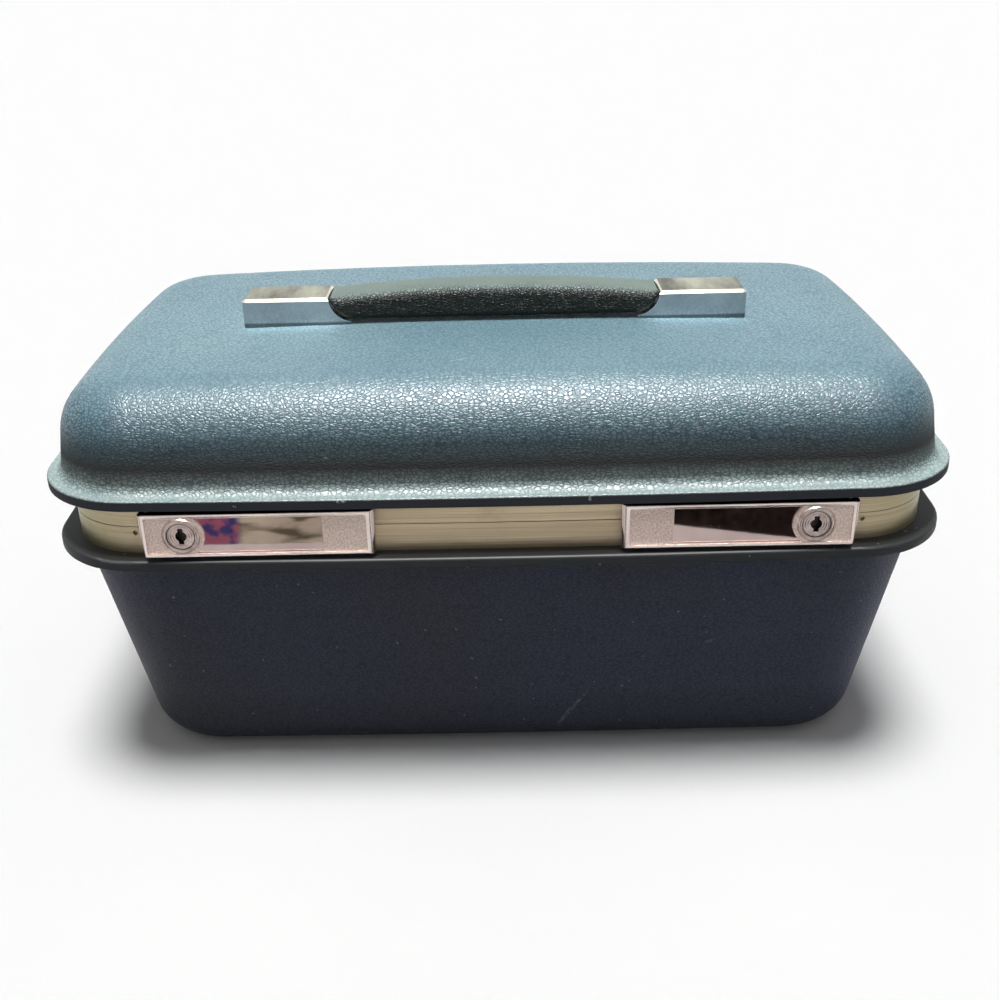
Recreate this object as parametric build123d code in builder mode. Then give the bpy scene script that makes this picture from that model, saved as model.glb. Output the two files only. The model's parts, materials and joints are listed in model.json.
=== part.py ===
from build123d import *
import math
import os

# Cosmetic train case, lid shut. Millimetres, +X right, +Y back, +Z up, origin under the centre of the base.
os.makedirs("parts", exist_ok=True)

# Overall size and plan shape
LENGTH = 343.0
DEPTH = 205.0
RIM_CORNER = 39.0
FRONT_BOW = 3.0
END_BOW = 2.9

# Heights
BASE_DEPTH = 94.0
BASE_FLANGE = 4.6
BASE_BAND = 10.5
PARTING_GAP = 0.25
LID_BAND = 9.95
LID_FLANGE = 3.8
LID_RISE = 39.1

# Moulded shells and their linings
SHELL_WALL = 3.0
LINING_WALL = 1.6
GLUE_GAP = 0.1
BASE_INSET_TOP = 8.5
BASE_INSET_FOOT = 23.6
BASE_CORNER = 34.5
BASE_FOOT_BOW = 1.0
BASE_FOOT_ROUND = 14.2
BASE_FLANGE_INSET = 1.0
LID_WALL = 2.5
LID_INSET = 4.4
LID_DRAFT = 8.0
LID_CORNER = 35.0
LID_SHOULDER = 24.0
LID_CROWN = 1.8
CROWN_REACH = 130.0
LID_FOOT_ROUND = 4.0
LID_RIM_ROUND = 0.9
FLANGE_ROUND = 1.2
LAND_BITE = 1.0
CEILING_DROP = 6.7

# Frames
BAND_INSET = 8.4
FRAME_WEB = 3.0
FRAME_DEPTH = 4.2
LIP_HEIGHT = 2.5
LIP_GAP = 0.4
SKIRT_INSET = 12.4
SKIRT_WALL = 2.0
SKIRT_HEIGHT = 8.6
LEDGE_WIDTH = 4.5
LEDGE_WALL = 2.0
LID_FRAME_TUCK = 5.6
TUCK_GAP = 0.3

# Lift-out tray
TRAY_DEPTH = 30.0
TRAY_WALL = 2.0
TRAY_RIM_GAP = 2.0
TRAY_LEDGE_GAP = 0.7
TRAY_SEAT_GAP = 0.1
TRAY_BAY = 58.0
TRAY_GRIP_WIDTH = 30.0
TRAY_GRIP_HEIGHT = 11.0
TRAY_ROOT = 0.5

# Mirror in the lid
MIRROR_LENGTH = 228.0
MIRROR_DEPTH = 118.0
MIRROR_WALL = 3.0
MIRROR_CORNER = 10.0
BEZEL_EDGE = 5.0
BEZEL_LIP = 4.5
BEZEL_LIP_WALL = 1.5
MIRROR_GAP = 0.3

# Hinges
HINGE_END_GAP = 81.5
HINGE_LENGTH = 44.0
KNUCKLE_RADIUS = 2.6
LID_KNUCKLE = 15.4
KNUCKLE_GAP = 0.3
HINGE_PIN_RADIUS = 1.2
PIN_PLAY = 0.05
LEAF_WALL = 1.3
LEAF_EDGE_GAP = 0.7
LEAF_CORNER = 1.5
HINGE_PIN_STAND = 0.4

# Rivets
RIVET_RADIUS = 1.0
RIVET_HEAD_RADIUS = 1.8
RIVET_HEAD = 0.8
RIVET_EDGE = 0.5
RIVET_GRIP = 3.0
RIVET_ROOM = 0.5
HINGE_RIVET_X = 15.0
PLATE_RIVET_INSETS = (15.5, 25.4)

# Latches
LATCH_END_GAP = 42.1
LATCH_LENGTH = 84.9
LATCH_EDGE_GAP = 1.85
LATCH_SETBACK = 2.1
LATCH_SLANT = 1.7
LEVER_WALL = 1.2
LEVER_FRONT_WALL = 2.0
LEVER_BAND_GAP = 0.4
LEVER_CORNER = 2.6
LEVER_EDGE = 0.7
PIVOT_ROOM = 0.5
LEVER_RIM = 1.3
PANEL_SINK = 0.35
PANEL_CORNER = 0.8
CHANNEL_SINK = 1.0
CHANNEL_RUN = 18.5
CHANNEL_EDGE = 0.3
LOCK_COLLAR = 1.4
FINGER_BEVEL = 1.6
LATCH_PIVOT_INSET = 3.2
LATCH_PIVOT_DEPTH = 4.2
LATCH_PIN_RADIUS = 1.0
LATCH_PIN_STAND = 0.2
LUG_RADIUS = 1.8
LUG_WALL = 1.6
LUG_REACH = 5.0
PLATE_WALL = 1.2
PLATE_MARGIN = 2.2
PLATE_SETBACK = 3.0
SPRING_WALL = 0.4
SPRING_WIDTH = 5.0
SPRING_FOOT = 9.0
SPRING_GAP = 0.6
SPRING_SETBACK = 7.0
BAND_HOLE_RADIUS = 0.9
BAND_HOLE_GAP = 3.4
BAND_HOLE_DROP = 2.2
BAND_HOLE_DEPTH = 2.0

# Locks
LOCK_INSET = 15.4
LOCK_RADIUS = 5.2
LOCK_PLAY = 0.08
LOCK_DEPTH = 3.4
LOCK_STAND = 0.3
LOCK_EDGE = 0.3
BEZEL_RADIUS = 7.0
BEZEL_NECK = 6.2
BEZEL_STAND = 0.5
BEZEL_EDGE_CUT = 0.35
BEZEL_SPREAD = 0.6
KEY_HOLE_RADIUS = 2.0
KEY_SLOT_WIDTH = 1.9
KEY_SLOT_HEIGHT = 6.2
KEY_DEPTH = 2.4
CAM_WALL = 1.2
CAM_REACH = 6.6
CAM_HUB_RADIUS = 3.1
CAM_TIP_RADIUS = 1.2

# Bolt on the lever and its keeper in the lid frame
BOLT_OFFSET = 39.5
BOLT_RISE = 3.85
BOLT_RADIUS = 1.6
BOLT_FOOT = 1.4
BOLT_FOOT_WALL = 1.2
BOLT_TIP = 0.8
BOLT_GAP = 0.4
KEEPER_WIDTH = 12.0
KEEPER_HEIGHT = 5.6
KEEPER_WALL = 1.2
KEEPER_PLAY = 0.6

# Handle
HANDLE_Y = -8.5
HANDLE_DEPTH = 21.0
CAP_OUTER = 100.0
CAP_LENGTH = 34.5
CAP_WING = 8.5
CAP_RISE = 10.3
CAP_WALL = 1.2
CAP_CORNER = 1.6
CAP_EDGE = 1.1
SWOOSH_RADIUS = 9.5
GRIP_GAP = 0.5
GRIP_BOW = 3.4
GRIP_ROUND = 3.6
GRIP_UNDER_ROUND = 2.2
LINK_PIVOT_INSET = 1.8
LINK_PIVOT_DROP = 6.3
LINK_LENGTH = 28.0
LINK_WALL = 4.0
LINK_BARREL = 12.0
LINK_EYE_WALL = 1.0
LINK_HALF_HEIGHT = 2.4
LINK_PIN_RADIUS = 1.2
LIFT = 15.0
SLOT_PLAY = 0.6
CORE_WIDTH = 6.4
CORE_HEIGHT = 3.0
CHEEK_WALL = 1.2
CHEEK_GAP = 0.6
FORK_OVERLAP = 1.5
FORK_TIP = 2.0
CORE_GAP = 0.05
POCKET_GAP = 0.1
POCKET_RISE = 4.4
SCREW_INSETS = (22.0, 8.0)
SCREW_RADIUS = 1.6
SCREW_HEAD_RADIUS = 3.1
SCREW_HEAD = 1.1
BOSS_RADIUS = 3.0

# Levels and places worked out from the sizes above
HALF_X = LENGTH / 2
HALF_Y = DEPTH / 2
FLANGE_Z = BASE_DEPTH + BASE_FLANGE
PARTING_Z = FLANGE_Z + BASE_BAND
LID_FRAME_Z = PARTING_Z + PARTING_GAP
LID_Z = LID_FRAME_Z + LID_BAND
LID_WALL_Z = LID_Z + LID_FLANGE
LID_TOP = LID_WALL_Z + LID_RISE
CEILING_Z = LID_TOP - CEILING_DROP
CROWN_RADIUS = CROWN_REACH ** 2 / 2 / LID_CROWN
LEDGE_Z = FLANGE_Z - SKIRT_HEIGHT
MOUTH_CORNER = BASE_CORNER - SHELL_WALL - SKIRT_WALL
HINGE_Z = LID_FRAME_Z
HINGE_X = HALF_X - HINGE_END_GAP
LATCH_Z = (FLANGE_Z + LID_Z) / 2
LATCH_LOW = FLANGE_Z + LATCH_EDGE_GAP
LATCH_HIGH = LID_Z - LATCH_EDGE_GAP
LATCH_OUTER = HALF_X - LATCH_END_GAP
LATCH_INNER = LATCH_OUTER - LATCH_LENGTH
LATCH_FACE_Y = LATCH_SETBACK - HALF_Y
LATCH_PIVOT_X = LATCH_OUTER - LATCH_PIVOT_INSET
LATCH_PIVOT_Y = LATCH_FACE_Y + LATCH_PIVOT_DEPTH
CHANNEL_START = LATCH_INNER + CHANNEL_RUN
LOCK_X = LATCH_OUTER - LOCK_INSET
BOLT_X = LATCH_INNER + BOLT_OFFSET
BOLT_Z = LID_FRAME_Z + BOLT_RISE
PLATE_RIVET_X = (LATCH_INNER + PLATE_RIVET_INSETS[0], LATCH_OUTER - PLATE_RIVET_INSETS[1])
FIELD_LOW = LATCH_LOW + LEVER_RIM
FIELD_HIGH = LATCH_HIGH - LEVER_RIM
FIELD_Y = LATCH_FACE_Y + PANEL_SINK
LEVER_BACK_Y = LATCH_FACE_Y + LEVER_FRONT_WALL
CAP_TOP_INNER = CAP_OUTER - CAP_LENGTH
CAP_TIP = CAP_TOP_INNER - CAP_WING
CAP_TOP_Z = LID_TOP + CAP_RISE
GRIP_CROWN_Z = CAP_TOP_Z + GRIP_BOW
LINK_PIVOT_X = CAP_TOP_INNER + LINK_PIVOT_INSET
LINK_PIVOT_Z = CAP_TOP_Z - LINK_PIVOT_DROP
POCKET_TOP_Z = LINK_PIVOT_Z + POCKET_RISE
SCREW_X = [CAP_OUTER - inset for inset in SCREW_INSETS]
SIDES = {"left": -1, "right": 1}


def plan(inset, corner, bow=FRONT_BOW, end_bow=END_BOW):
    """Rounded rectangle with bowed sides, a set distance inside the rim."""
    half_x, half_y = HALF_X - inset, HALF_Y - inset
    corner_x, corner_y = half_x - end_bow, half_y - bow
    with BuildSketch() as outline:
        with BuildLine():
            ThreePointArc((-corner_x, -corner_y), (0, -half_y), (corner_x, -corner_y))
            ThreePointArc((corner_x, -corner_y), (half_x, 0), (corner_x, corner_y))
            ThreePointArc((corner_x, corner_y), (0, half_y), (-corner_x, corner_y))
            ThreePointArc((-corner_x, corner_y), (-half_x, 0), (-corner_x, -corner_y))
        make_face()
        fillet(outline.vertices(), corner)
    return outline.sketch


def slab(inset, low, high, corner=None):
    """A plate with the plan's outline between two heights."""
    with BuildPart() as plate:
        with BuildSketch(Plane.XY.offset(low)):
            add(plan(inset, corner or RIM_CORNER - inset))
        extrude(amount=high - low)
    return plate.part


def ring(outer, inner, low, high, outer_corner=None, inner_corner=None):
    """A hoop between two insets and two heights."""
    with BuildPart() as hoop:
        add(slab(outer, low, high, outer_corner))
        add(slab(inner, low, high, inner_corner), mode=Mode.SUBTRACT)
    return hoop.part


def band_y(x, inset=BAND_INSET):
    """How far out the bowed front or back lies at x."""
    return HALF_Y - inset - FRONT_BOW * (x / (HALF_X - END_BOW)) ** 2


def base_inset(z):
    """Inset of the tapered base wall at a height."""
    return BASE_INSET_FOOT + (BASE_INSET_TOP - BASE_INSET_FOOT) * z / BASE_DEPTH


def tub(wall, low, high):
    """The base's tapered form, a wall thickness inside its outer face."""
    foot_bow = BASE_FOOT_BOW
    top_bow = foot_bow + (FRONT_BOW - foot_bow) * high / BASE_DEPTH
    with BuildPart() as form:
        with BuildSketch(Plane.XY.offset(low)):
            add(plan(base_inset(low) + wall, BASE_CORNER - wall, foot_bow, foot_bow))
        with BuildSketch(Plane.XY.offset(high)):
            add(plan(base_inset(high) + wall, BASE_CORNER - wall, top_bow, top_bow))
        loft(ruled=True)
        foot = form.faces().sort_by(Axis.Z)[0]
        fillet(foot.edges(), BASE_FOOT_ROUND - wall)
    return form.part


def dome(wall):
    """The lid's crowned form, a wall thickness inside its outer face."""
    top = LID_TOP - wall
    rise = (top - LID_Z) * math.tan(math.radians(LID_DRAFT))
    with BuildPart() as form:
        with BuildSketch(Plane.XY.offset(LID_Z)):
            add(plan(LID_INSET + wall, LID_CORNER - wall))
        with BuildSketch(Plane.XY.offset(top)):
            add(plan(LID_INSET + wall + rise, LID_CORNER - wall - LID_FOOT_ROUND))
        loft(ruled=True)
        with Locations((0, 0, top - CROWN_RADIUS)):
            Sphere(CROWN_RADIUS, mode=Mode.INTERSECT)
        fillet(form.faces().sort_by(Axis.Z)[-1].edges(), LID_SHOULDER - wall)
    return form.part


def block(low, high):
    """A box between two corners."""
    with BuildPart() as solid:
        with Locations([tuple((a + b) / 2 for a, b in zip(low, high))]):
            Box(*[b - a for a, b in zip(low, high)])
    return solid.part


def rod(start, end, radius):
    """A round bar from one point to another."""
    start, end = Vector(*start), Vector(*end)
    with BuildPart() as bar:
        with BuildSketch(Plane(origin=start, z_dir=end - start)):
            Circle(radius)
        extrude(amount=(end - start).length)
    return bar.part


def crown_z(x, y):
    """Height of the lid's crowned top."""
    return LID_TOP - CROWN_RADIUS + math.sqrt(CROWN_RADIUS ** 2 - x * x - y * y)


def rivet(x, y, z, facing):
    """A rivet in the band, its head towards the front (-1) or the back (+1)."""
    with BuildPart() as pin:
        add(rod((x, y, z), (x, y - facing * RIVET_GRIP, z), RIVET_RADIUS))
        add(rod((x, y, z), (x, y + facing * RIVET_HEAD, z), RIVET_HEAD_RADIUS))
        head_edge = pin.edges().filter_by(GeomType.CIRCLE).sort_by(Axis.Y)[-1 if facing > 0 else 0]
        chamfer(head_edge, RIVET_EDGE)
    return pin.part


# Places of the rivets: hinge leaves behind, latch plates in front
HINGE_AXIS_Y = band_y(HINGE_X - HINGE_LENGTH / 2) + KNUCKLE_GAP + KNUCKLE_RADIUS
LEAF_FACE_Y = band_y(HINGE_X - HINGE_LENGTH / 2) + LEAF_WALL
LID_LEAF_Z = (HINGE_Z + KNUCKLE_RADIUS + LID_Z) / 2
BASE_LEAF_Z = (HINGE_Z - KNUCKLE_RADIUS + FLANGE_Z) / 2
RIVET_SPOTS = {
    "lid": [(s * HINGE_X + d * HINGE_RIVET_X, LEAF_FACE_Y, LID_LEAF_Z) for s in (-1, 1) for d in (-1, 1)],
    "base": [(s * HINGE_X + d * HINGE_RIVET_X, LEAF_FACE_Y, BASE_LEAF_Z) for s in (-1, 1) for d in (-1, 1)],
}
PLATE_RIVET_Z = (LATCH_LOW + LEVER_WALL + PARTING_Z) / 2
PLATE_SPOTS = [(s * x, -band_y(x, BAND_INSET - PLATE_WALL), PLATE_RIVET_Z) for s in (-1, 1) for x in PLATE_RIVET_X]


# Base shell: tapered tub with a rounded foot and a rolled flange at its top
with BuildPart() as base_shell:
    add(slab(BASE_FLANGE_INSET, BASE_DEPTH, FLANGE_Z))
    flange_faces = base_shell.faces().sort_by(Axis.Z)
    fillet(flange_faces[0].edges() + flange_faces[-1].edges(), FLANGE_ROUND)
    add(tub(0, 0, BASE_DEPTH))
    add(tub(SHELL_WALL, SHELL_WALL, FLANGE_Z + 1), mode=Mode.SUBTRACT)
base_shell.part.label = "base_shell"
export_step(base_shell.part, "parts/base_shell.step")

# Lid shell: crowned dome on a flange, a hollow flare where they meet, and a land inside that holds the frame
with BuildPart() as lid_shell:
    add(slab(0, LID_Z, LID_WALL_Z))
    fillet(lid_shell.faces().sort_by(Axis.Z)[-1].edges(), LID_RIM_ROUND)
    add(dome(0))
    flange_top = lid_shell.faces().filter_by(Plane.XY).sort_by(Axis.Z)[-1]
    fillet(flange_top.inner_wires()[0].edges(), LID_FOOT_ROUND)
    add(dome(LID_WALL), mode=Mode.SUBTRACT)
    add(ring(LID_INSET + LID_WALL - LAND_BITE, BAND_INSET, LID_Z, LID_Z + LID_FRAME_TUCK + TUCK_GAP))
    for side in SIDES.values():
        for x in SCREW_X:
            inside = crown_z(x, HANDLE_Y) - LID_WALL
            add(rod((side * x, HANDLE_Y, inside - 1), (side * x, HANDLE_Y, LID_TOP + 1),
                    SCREW_RADIUS + PIN_PLAY), mode=Mode.SUBTRACT)
            add(rod((side * x, HANDLE_Y, inside - 1), (side * x, HANDLE_Y, inside + SCREW_HEAD + PIN_PLAY),
                    SCREW_HEAD_RADIUS + PIN_PLAY), mode=Mode.SUBTRACT)
lid_shell.part.label = "lid_shell"
export_step(lid_shell.part, "parts/lid_shell.step")

# Base frame: band, inner lip that locates the lid, skirt inside the shell and ledge for the tray
with BuildPart() as base_frame:
    inner = SKIRT_INSET + SKIRT_WALL
    lip_inset = BAND_INSET + FRAME_WEB + LIP_GAP
    add(ring(BAND_INSET, inner, FLANGE_Z, PARTING_Z, None, MOUTH_CORNER))
    add(ring(lip_inset, inner, PARTING_Z, PARTING_Z + LIP_HEIGHT, None, MOUTH_CORNER))
    add(ring(SKIRT_INSET, inner, LEDGE_Z, FLANGE_Z, MOUTH_CORNER + SKIRT_WALL, MOUTH_CORNER))
    add(ring(inner, inner + LEDGE_WIDTH, LEDGE_Z, LEDGE_Z + LEDGE_WALL, MOUTH_CORNER, MOUTH_CORNER - LEDGE_WIDTH))
    for x, y, z in RIVET_SPOTS["base"] + PLATE_SPOTS:
        inward = -math.copysign(RIVET_GRIP + RIVET_ROOM, y)
        add(rod((x, y, z), (x, y + inward, z), RIVET_RADIUS + PIN_PLAY), mode=Mode.SUBTRACT)
    for side in SIDES.values():
        x, z = side * (LATCH_OUTER + BAND_HOLE_GAP), LATCH_Z - BAND_HOLE_DROP
        add(rod((x, -HALF_Y, z), (x, BAND_HOLE_DEPTH - band_y(x), z), BAND_HOLE_RADIUS), mode=Mode.SUBTRACT)
base_frame.part.label = "base_frame"
export_step(base_frame.part, "parts/base_frame.step")

# Lid frame: band below the flange, web up inside the shell and a return at its top, let in for the keepers
with BuildPart() as lid_frame:
    web_top = LID_Z + LID_FRAME_TUCK
    add(ring(BAND_INSET, BAND_INSET + FRAME_WEB, LID_FRAME_Z, web_top))
    add(ring(BAND_INSET + FRAME_WEB, BAND_INSET + FRAME_DEPTH, web_top - LEDGE_WALL, web_top))
    for x, y, z in RIVET_SPOTS["lid"]:
        add(rod((x, y, z), (x, y - RIVET_GRIP - RIVET_ROOM, z), RIVET_RADIUS + PIN_PLAY), mode=Mode.SUBTRACT)
    for side in SIDES.values():
        x, y = side * BOLT_X, band_y(BOLT_X)
        half = KEEPER_WIDTH / 2
        low = BOLT_Z - KEEPER_HEIGHT / 2
        add(block((x - half, -HALF_Y, low), (x + half, -y + KEEPER_WALL, low + KEEPER_HEIGHT)),
            mode=Mode.SUBTRACT)
        add(rod((x, -HALF_Y, BOLT_Z), (x, -y + 2 * FRAME_WEB, BOLT_Z), BOLT_RADIUS + KEEPER_PLAY),
            mode=Mode.SUBTRACT)
lid_frame.part.label = "lid_frame"
export_step(lid_frame.part, "parts/lid_frame.step")

# Linings: padded board and cloth glued inside each shell
with BuildPart() as base_lining:
    outer, inner = SHELL_WALL + GLUE_GAP, SHELL_WALL + GLUE_GAP + LINING_WALL
    add(tub(outer, outer, LEDGE_Z - GLUE_GAP))
    add(tub(inner, inner, LEDGE_Z + 1), mode=Mode.SUBTRACT)
base_lining.part.label = "base_lining"
export_step(base_lining.part, "parts/base_lining.step")

with BuildPart() as lid_lining:
    room = block((-HALF_X, -HALF_Y, LID_Z), (HALF_X, HALF_Y, CEILING_Z))
    lining_foot = LID_Z + LID_FRAME_TUCK + TUCK_GAP + GLUE_GAP
    add(dome(LID_WALL + GLUE_GAP))
    add(dome(LID_WALL + GLUE_GAP + LINING_WALL) & room, mode=Mode.SUBTRACT)
    add(block((-HALF_X, -HALF_Y, LID_Z - 1), (HALF_X, HALF_Y, lining_foot)), mode=Mode.SUBTRACT)
lid_lining.part.label = "lid_lining"
export_step(lid_lining.part, "parts/lid_lining.step")

# Mirror and the moulded bezel that holds it to the lid's ceiling
with BuildPart() as mirror_bezel:
    mirror_low = CEILING_Z - MIRROR_WALL - MIRROR_GAP
    bezel_low = mirror_low - BEZEL_LIP_WALL
    grow = BEZEL_EDGE + MIRROR_GAP
    with BuildSketch(Plane.XY.offset(bezel_low)):
        RectangleRounded(MIRROR_LENGTH + 2 * grow, MIRROR_DEPTH + 2 * grow, MIRROR_CORNER + grow)
    extrude(amount=CEILING_Z - bezel_low)
    fillet(mirror_bezel.faces().sort_by(Axis.Z)[0].edges(), BEZEL_LIP_WALL * 0.8)
    with BuildSketch(Plane.XY.offset(mirror_low)):
        RectangleRounded(MIRROR_LENGTH + 2 * MIRROR_GAP, MIRROR_DEPTH + 2 * MIRROR_GAP, MIRROR_CORNER + MIRROR_GAP)
    extrude(amount=CEILING_Z - mirror_low, mode=Mode.SUBTRACT)
    with BuildSketch(Plane.XY.offset(bezel_low)):
        RectangleRounded(MIRROR_LENGTH - 2 * BEZEL_LIP, MIRROR_DEPTH - 2 * BEZEL_LIP, MIRROR_CORNER - BEZEL_LIP)
    extrude(amount=CEILING_Z - bezel_low, mode=Mode.SUBTRACT)
mirror_bezel.part.label = "mirror_bezel"
export_step(mirror_bezel.part, "parts/mirror_bezel.step")

with BuildPart() as lid_mirror:
    with BuildSketch(Plane.XY.offset(mirror_low)):
        RectangleRounded(MIRROR_LENGTH, MIRROR_DEPTH, MIRROR_CORNER)
    extrude(amount=MIRROR_WALL)
lid_mirror.part.label = "lid_mirror"
export_step(lid_mirror.part, "parts/lid_mirror.step")

# Lift-out tray: rim on the frame's ledge, four bays and a finger hole in each end
with BuildPart() as tray:
    seat = LEDGE_Z + LEDGE_WALL + TRAY_SEAT_GAP
    rim_inset = SKIRT_INSET + SKIRT_WALL + TRAY_RIM_GAP
    wall_inset = SKIRT_INSET + SKIRT_WALL + LEDGE_WIDTH + TRAY_LEDGE_GAP
    rim_top = seat + TRAY_WALL
    floor_low = rim_top - TRAY_DEPTH
    floor_top = floor_low + TRAY_WALL
    bay_x, bay_y = HALF_X - wall_inset, HALF_Y - wall_inset
    add(slab(rim_inset, seat, rim_top, MOUTH_CORNER))
    add(slab(wall_inset, floor_low, rim_top, MOUTH_CORNER - TRAY_WALL))
    fillet(tray.faces().sort_by(Axis.Z)[0].edges(), 1.5 * TRAY_WALL)
    add(slab(wall_inset + TRAY_WALL, floor_top, rim_top, MOUTH_CORNER - 2 * TRAY_WALL), mode=Mode.SUBTRACT)
    for side in SIDES.values():
        x = side * TRAY_BAY
        add(block((x - TRAY_WALL / 2, -bay_y + TRAY_WALL, floor_top - TRAY_ROOT),
                  (x + TRAY_WALL / 2, bay_y - TRAY_WALL, rim_top - TRAY_WALL)))
        hole_x, hole_z = side * (bay_x - END_BOW), rim_top - TRAY_WALL - TRAY_GRIP_HEIGHT
        with BuildSketch(Plane.YZ.offset(hole_x - 4 * TRAY_WALL)):
            with Locations((0, hole_z)):
                SlotOverall(TRAY_GRIP_WIDTH, TRAY_GRIP_HEIGHT)
        extrude(amount=8 * TRAY_WALL, mode=Mode.SUBTRACT)
    add(block((TRAY_BAY, -TRAY_WALL / 2, floor_top - TRAY_ROOT),
              (bay_x - TRAY_WALL, TRAY_WALL / 2, rim_top - TRAY_WALL)))
tray.part.label = "tray"
export_step(tray.part, "parts/tray.step")


def leaf(side, part, knuckles, sign):
    """A hinge leaf bent to the band, with its knuckles, above (+1) or below (-1) the pin."""
    mid = side * HINGE_X
    half = HINGE_LENGTH / 2
    near = HINGE_Z + sign * (KNUCKLE_RADIUS + KNUCKLE_GAP)
    far = LID_Z - LEAF_EDGE_GAP if sign > 0 else FLANGE_Z + LEAF_EDGE_GAP
    with BuildPart() as plate:
        add(block((mid - half, 0.8 * HALF_Y, min(near, far)), (mid + half, LEAF_FACE_Y, max(near, far))))
        corners = plate.edges().filter_by(Axis.Y)
        fillet(corners.sort_by(Axis.Z)[:2] if sign < 0 else corners.sort_by(Axis.Z)[-2:], LEAF_CORNER)
        for start, end in knuckles:
            add(rod((mid + start, HINGE_AXIS_Y, HINGE_Z), (mid + end, HINGE_AXIS_Y, HINGE_Z), KNUCKLE_RADIUS))
            add(block((mid + start, 0.8 * HALF_Y, min(HINGE_Z + sign * KNUCKLE_RADIUS * 0.3, near + sign)),
                      (mid + end, LEAF_FACE_Y, max(HINGE_Z + sign * KNUCKLE_RADIUS * 0.3, near + sign))))
        bore_reach = half + 1
        add(rod((mid - bore_reach, HINGE_AXIS_Y, HINGE_Z), (mid + bore_reach, HINGE_AXIS_Y, HINGE_Z),
                HINGE_PIN_RADIUS + PIN_PLAY), mode=Mode.SUBTRACT)
        add(slab(BAND_INSET, FLANGE_Z, LID_Z), mode=Mode.SUBTRACT)
        for x, y, z in RIVET_SPOTS[part]:
            if x * side > 0:
                add(rod((x, y + 1, z), (x, y - 2 * LEAF_WALL - 1, z), RIVET_RADIUS + PIN_PLAY),
                    mode=Mode.SUBTRACT)
    return plate.part


# Hinges: base leaf with two knuckles, lid leaf with one, and a pin
lid_knuckle = [(-LID_KNUCKLE / 2, LID_KNUCKLE / 2)]
base_knuckles = [(-HINGE_LENGTH / 2, -LID_KNUCKLE / 2 - KNUCKLE_GAP),
                 (LID_KNUCKLE / 2 + KNUCKLE_GAP, HINGE_LENGTH / 2)]
for name, side in SIDES.items():
    with BuildPart() as lid_leaf:
        add(leaf(side, "lid", lid_knuckle, 1))
    lid_leaf.part.label = f"{name}_hinge_lid_leaf"
    export_step(lid_leaf.part, f"parts/{name}_hinge_lid_leaf.step")

    with BuildPart() as base_leaf:
        add(leaf(side, "base", base_knuckles, -1))
    base_leaf.part.label = f"{name}_hinge_base_leaf"
    export_step(base_leaf.part, f"parts/{name}_hinge_base_leaf.step")

    with BuildPart() as hinge_pin:
        reach = HINGE_LENGTH / 2 + HINGE_PIN_STAND
        add(rod((side * HINGE_X - reach, HINGE_AXIS_Y, HINGE_Z), (side * HINGE_X + reach, HINGE_AXIS_Y, HINGE_Z),
                HINGE_PIN_RADIUS))
        chamfer(hinge_pin.edges().filter_by(GeomType.CIRCLE), HINGE_PIN_STAND / 2)
    hinge_pin.part.label = f"{name}_hinge_pin"
    export_step(hinge_pin.part, f"parts/{name}_hinge_pin.step")

for name, spots in RIVET_SPOTS.items():
    with BuildPart() as hinge_rivets:
        for x, y, z in spots:
            add(rivet(x, y, z, 1))
    hinge_rivets.part.label = f"{name}_hinge_rivets"
    export_step(hinge_rivets.part, f"parts/{name}_hinge_rivets.step")

with BuildPart() as latch_rivets:
    for x, y, z in PLATE_SPOTS:
        add(rivet(x, y, z, -1))
latch_rivets.part.label = "latch_rivets"
export_step(latch_rivets.part, "parts/latch_rivets.step")

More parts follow.
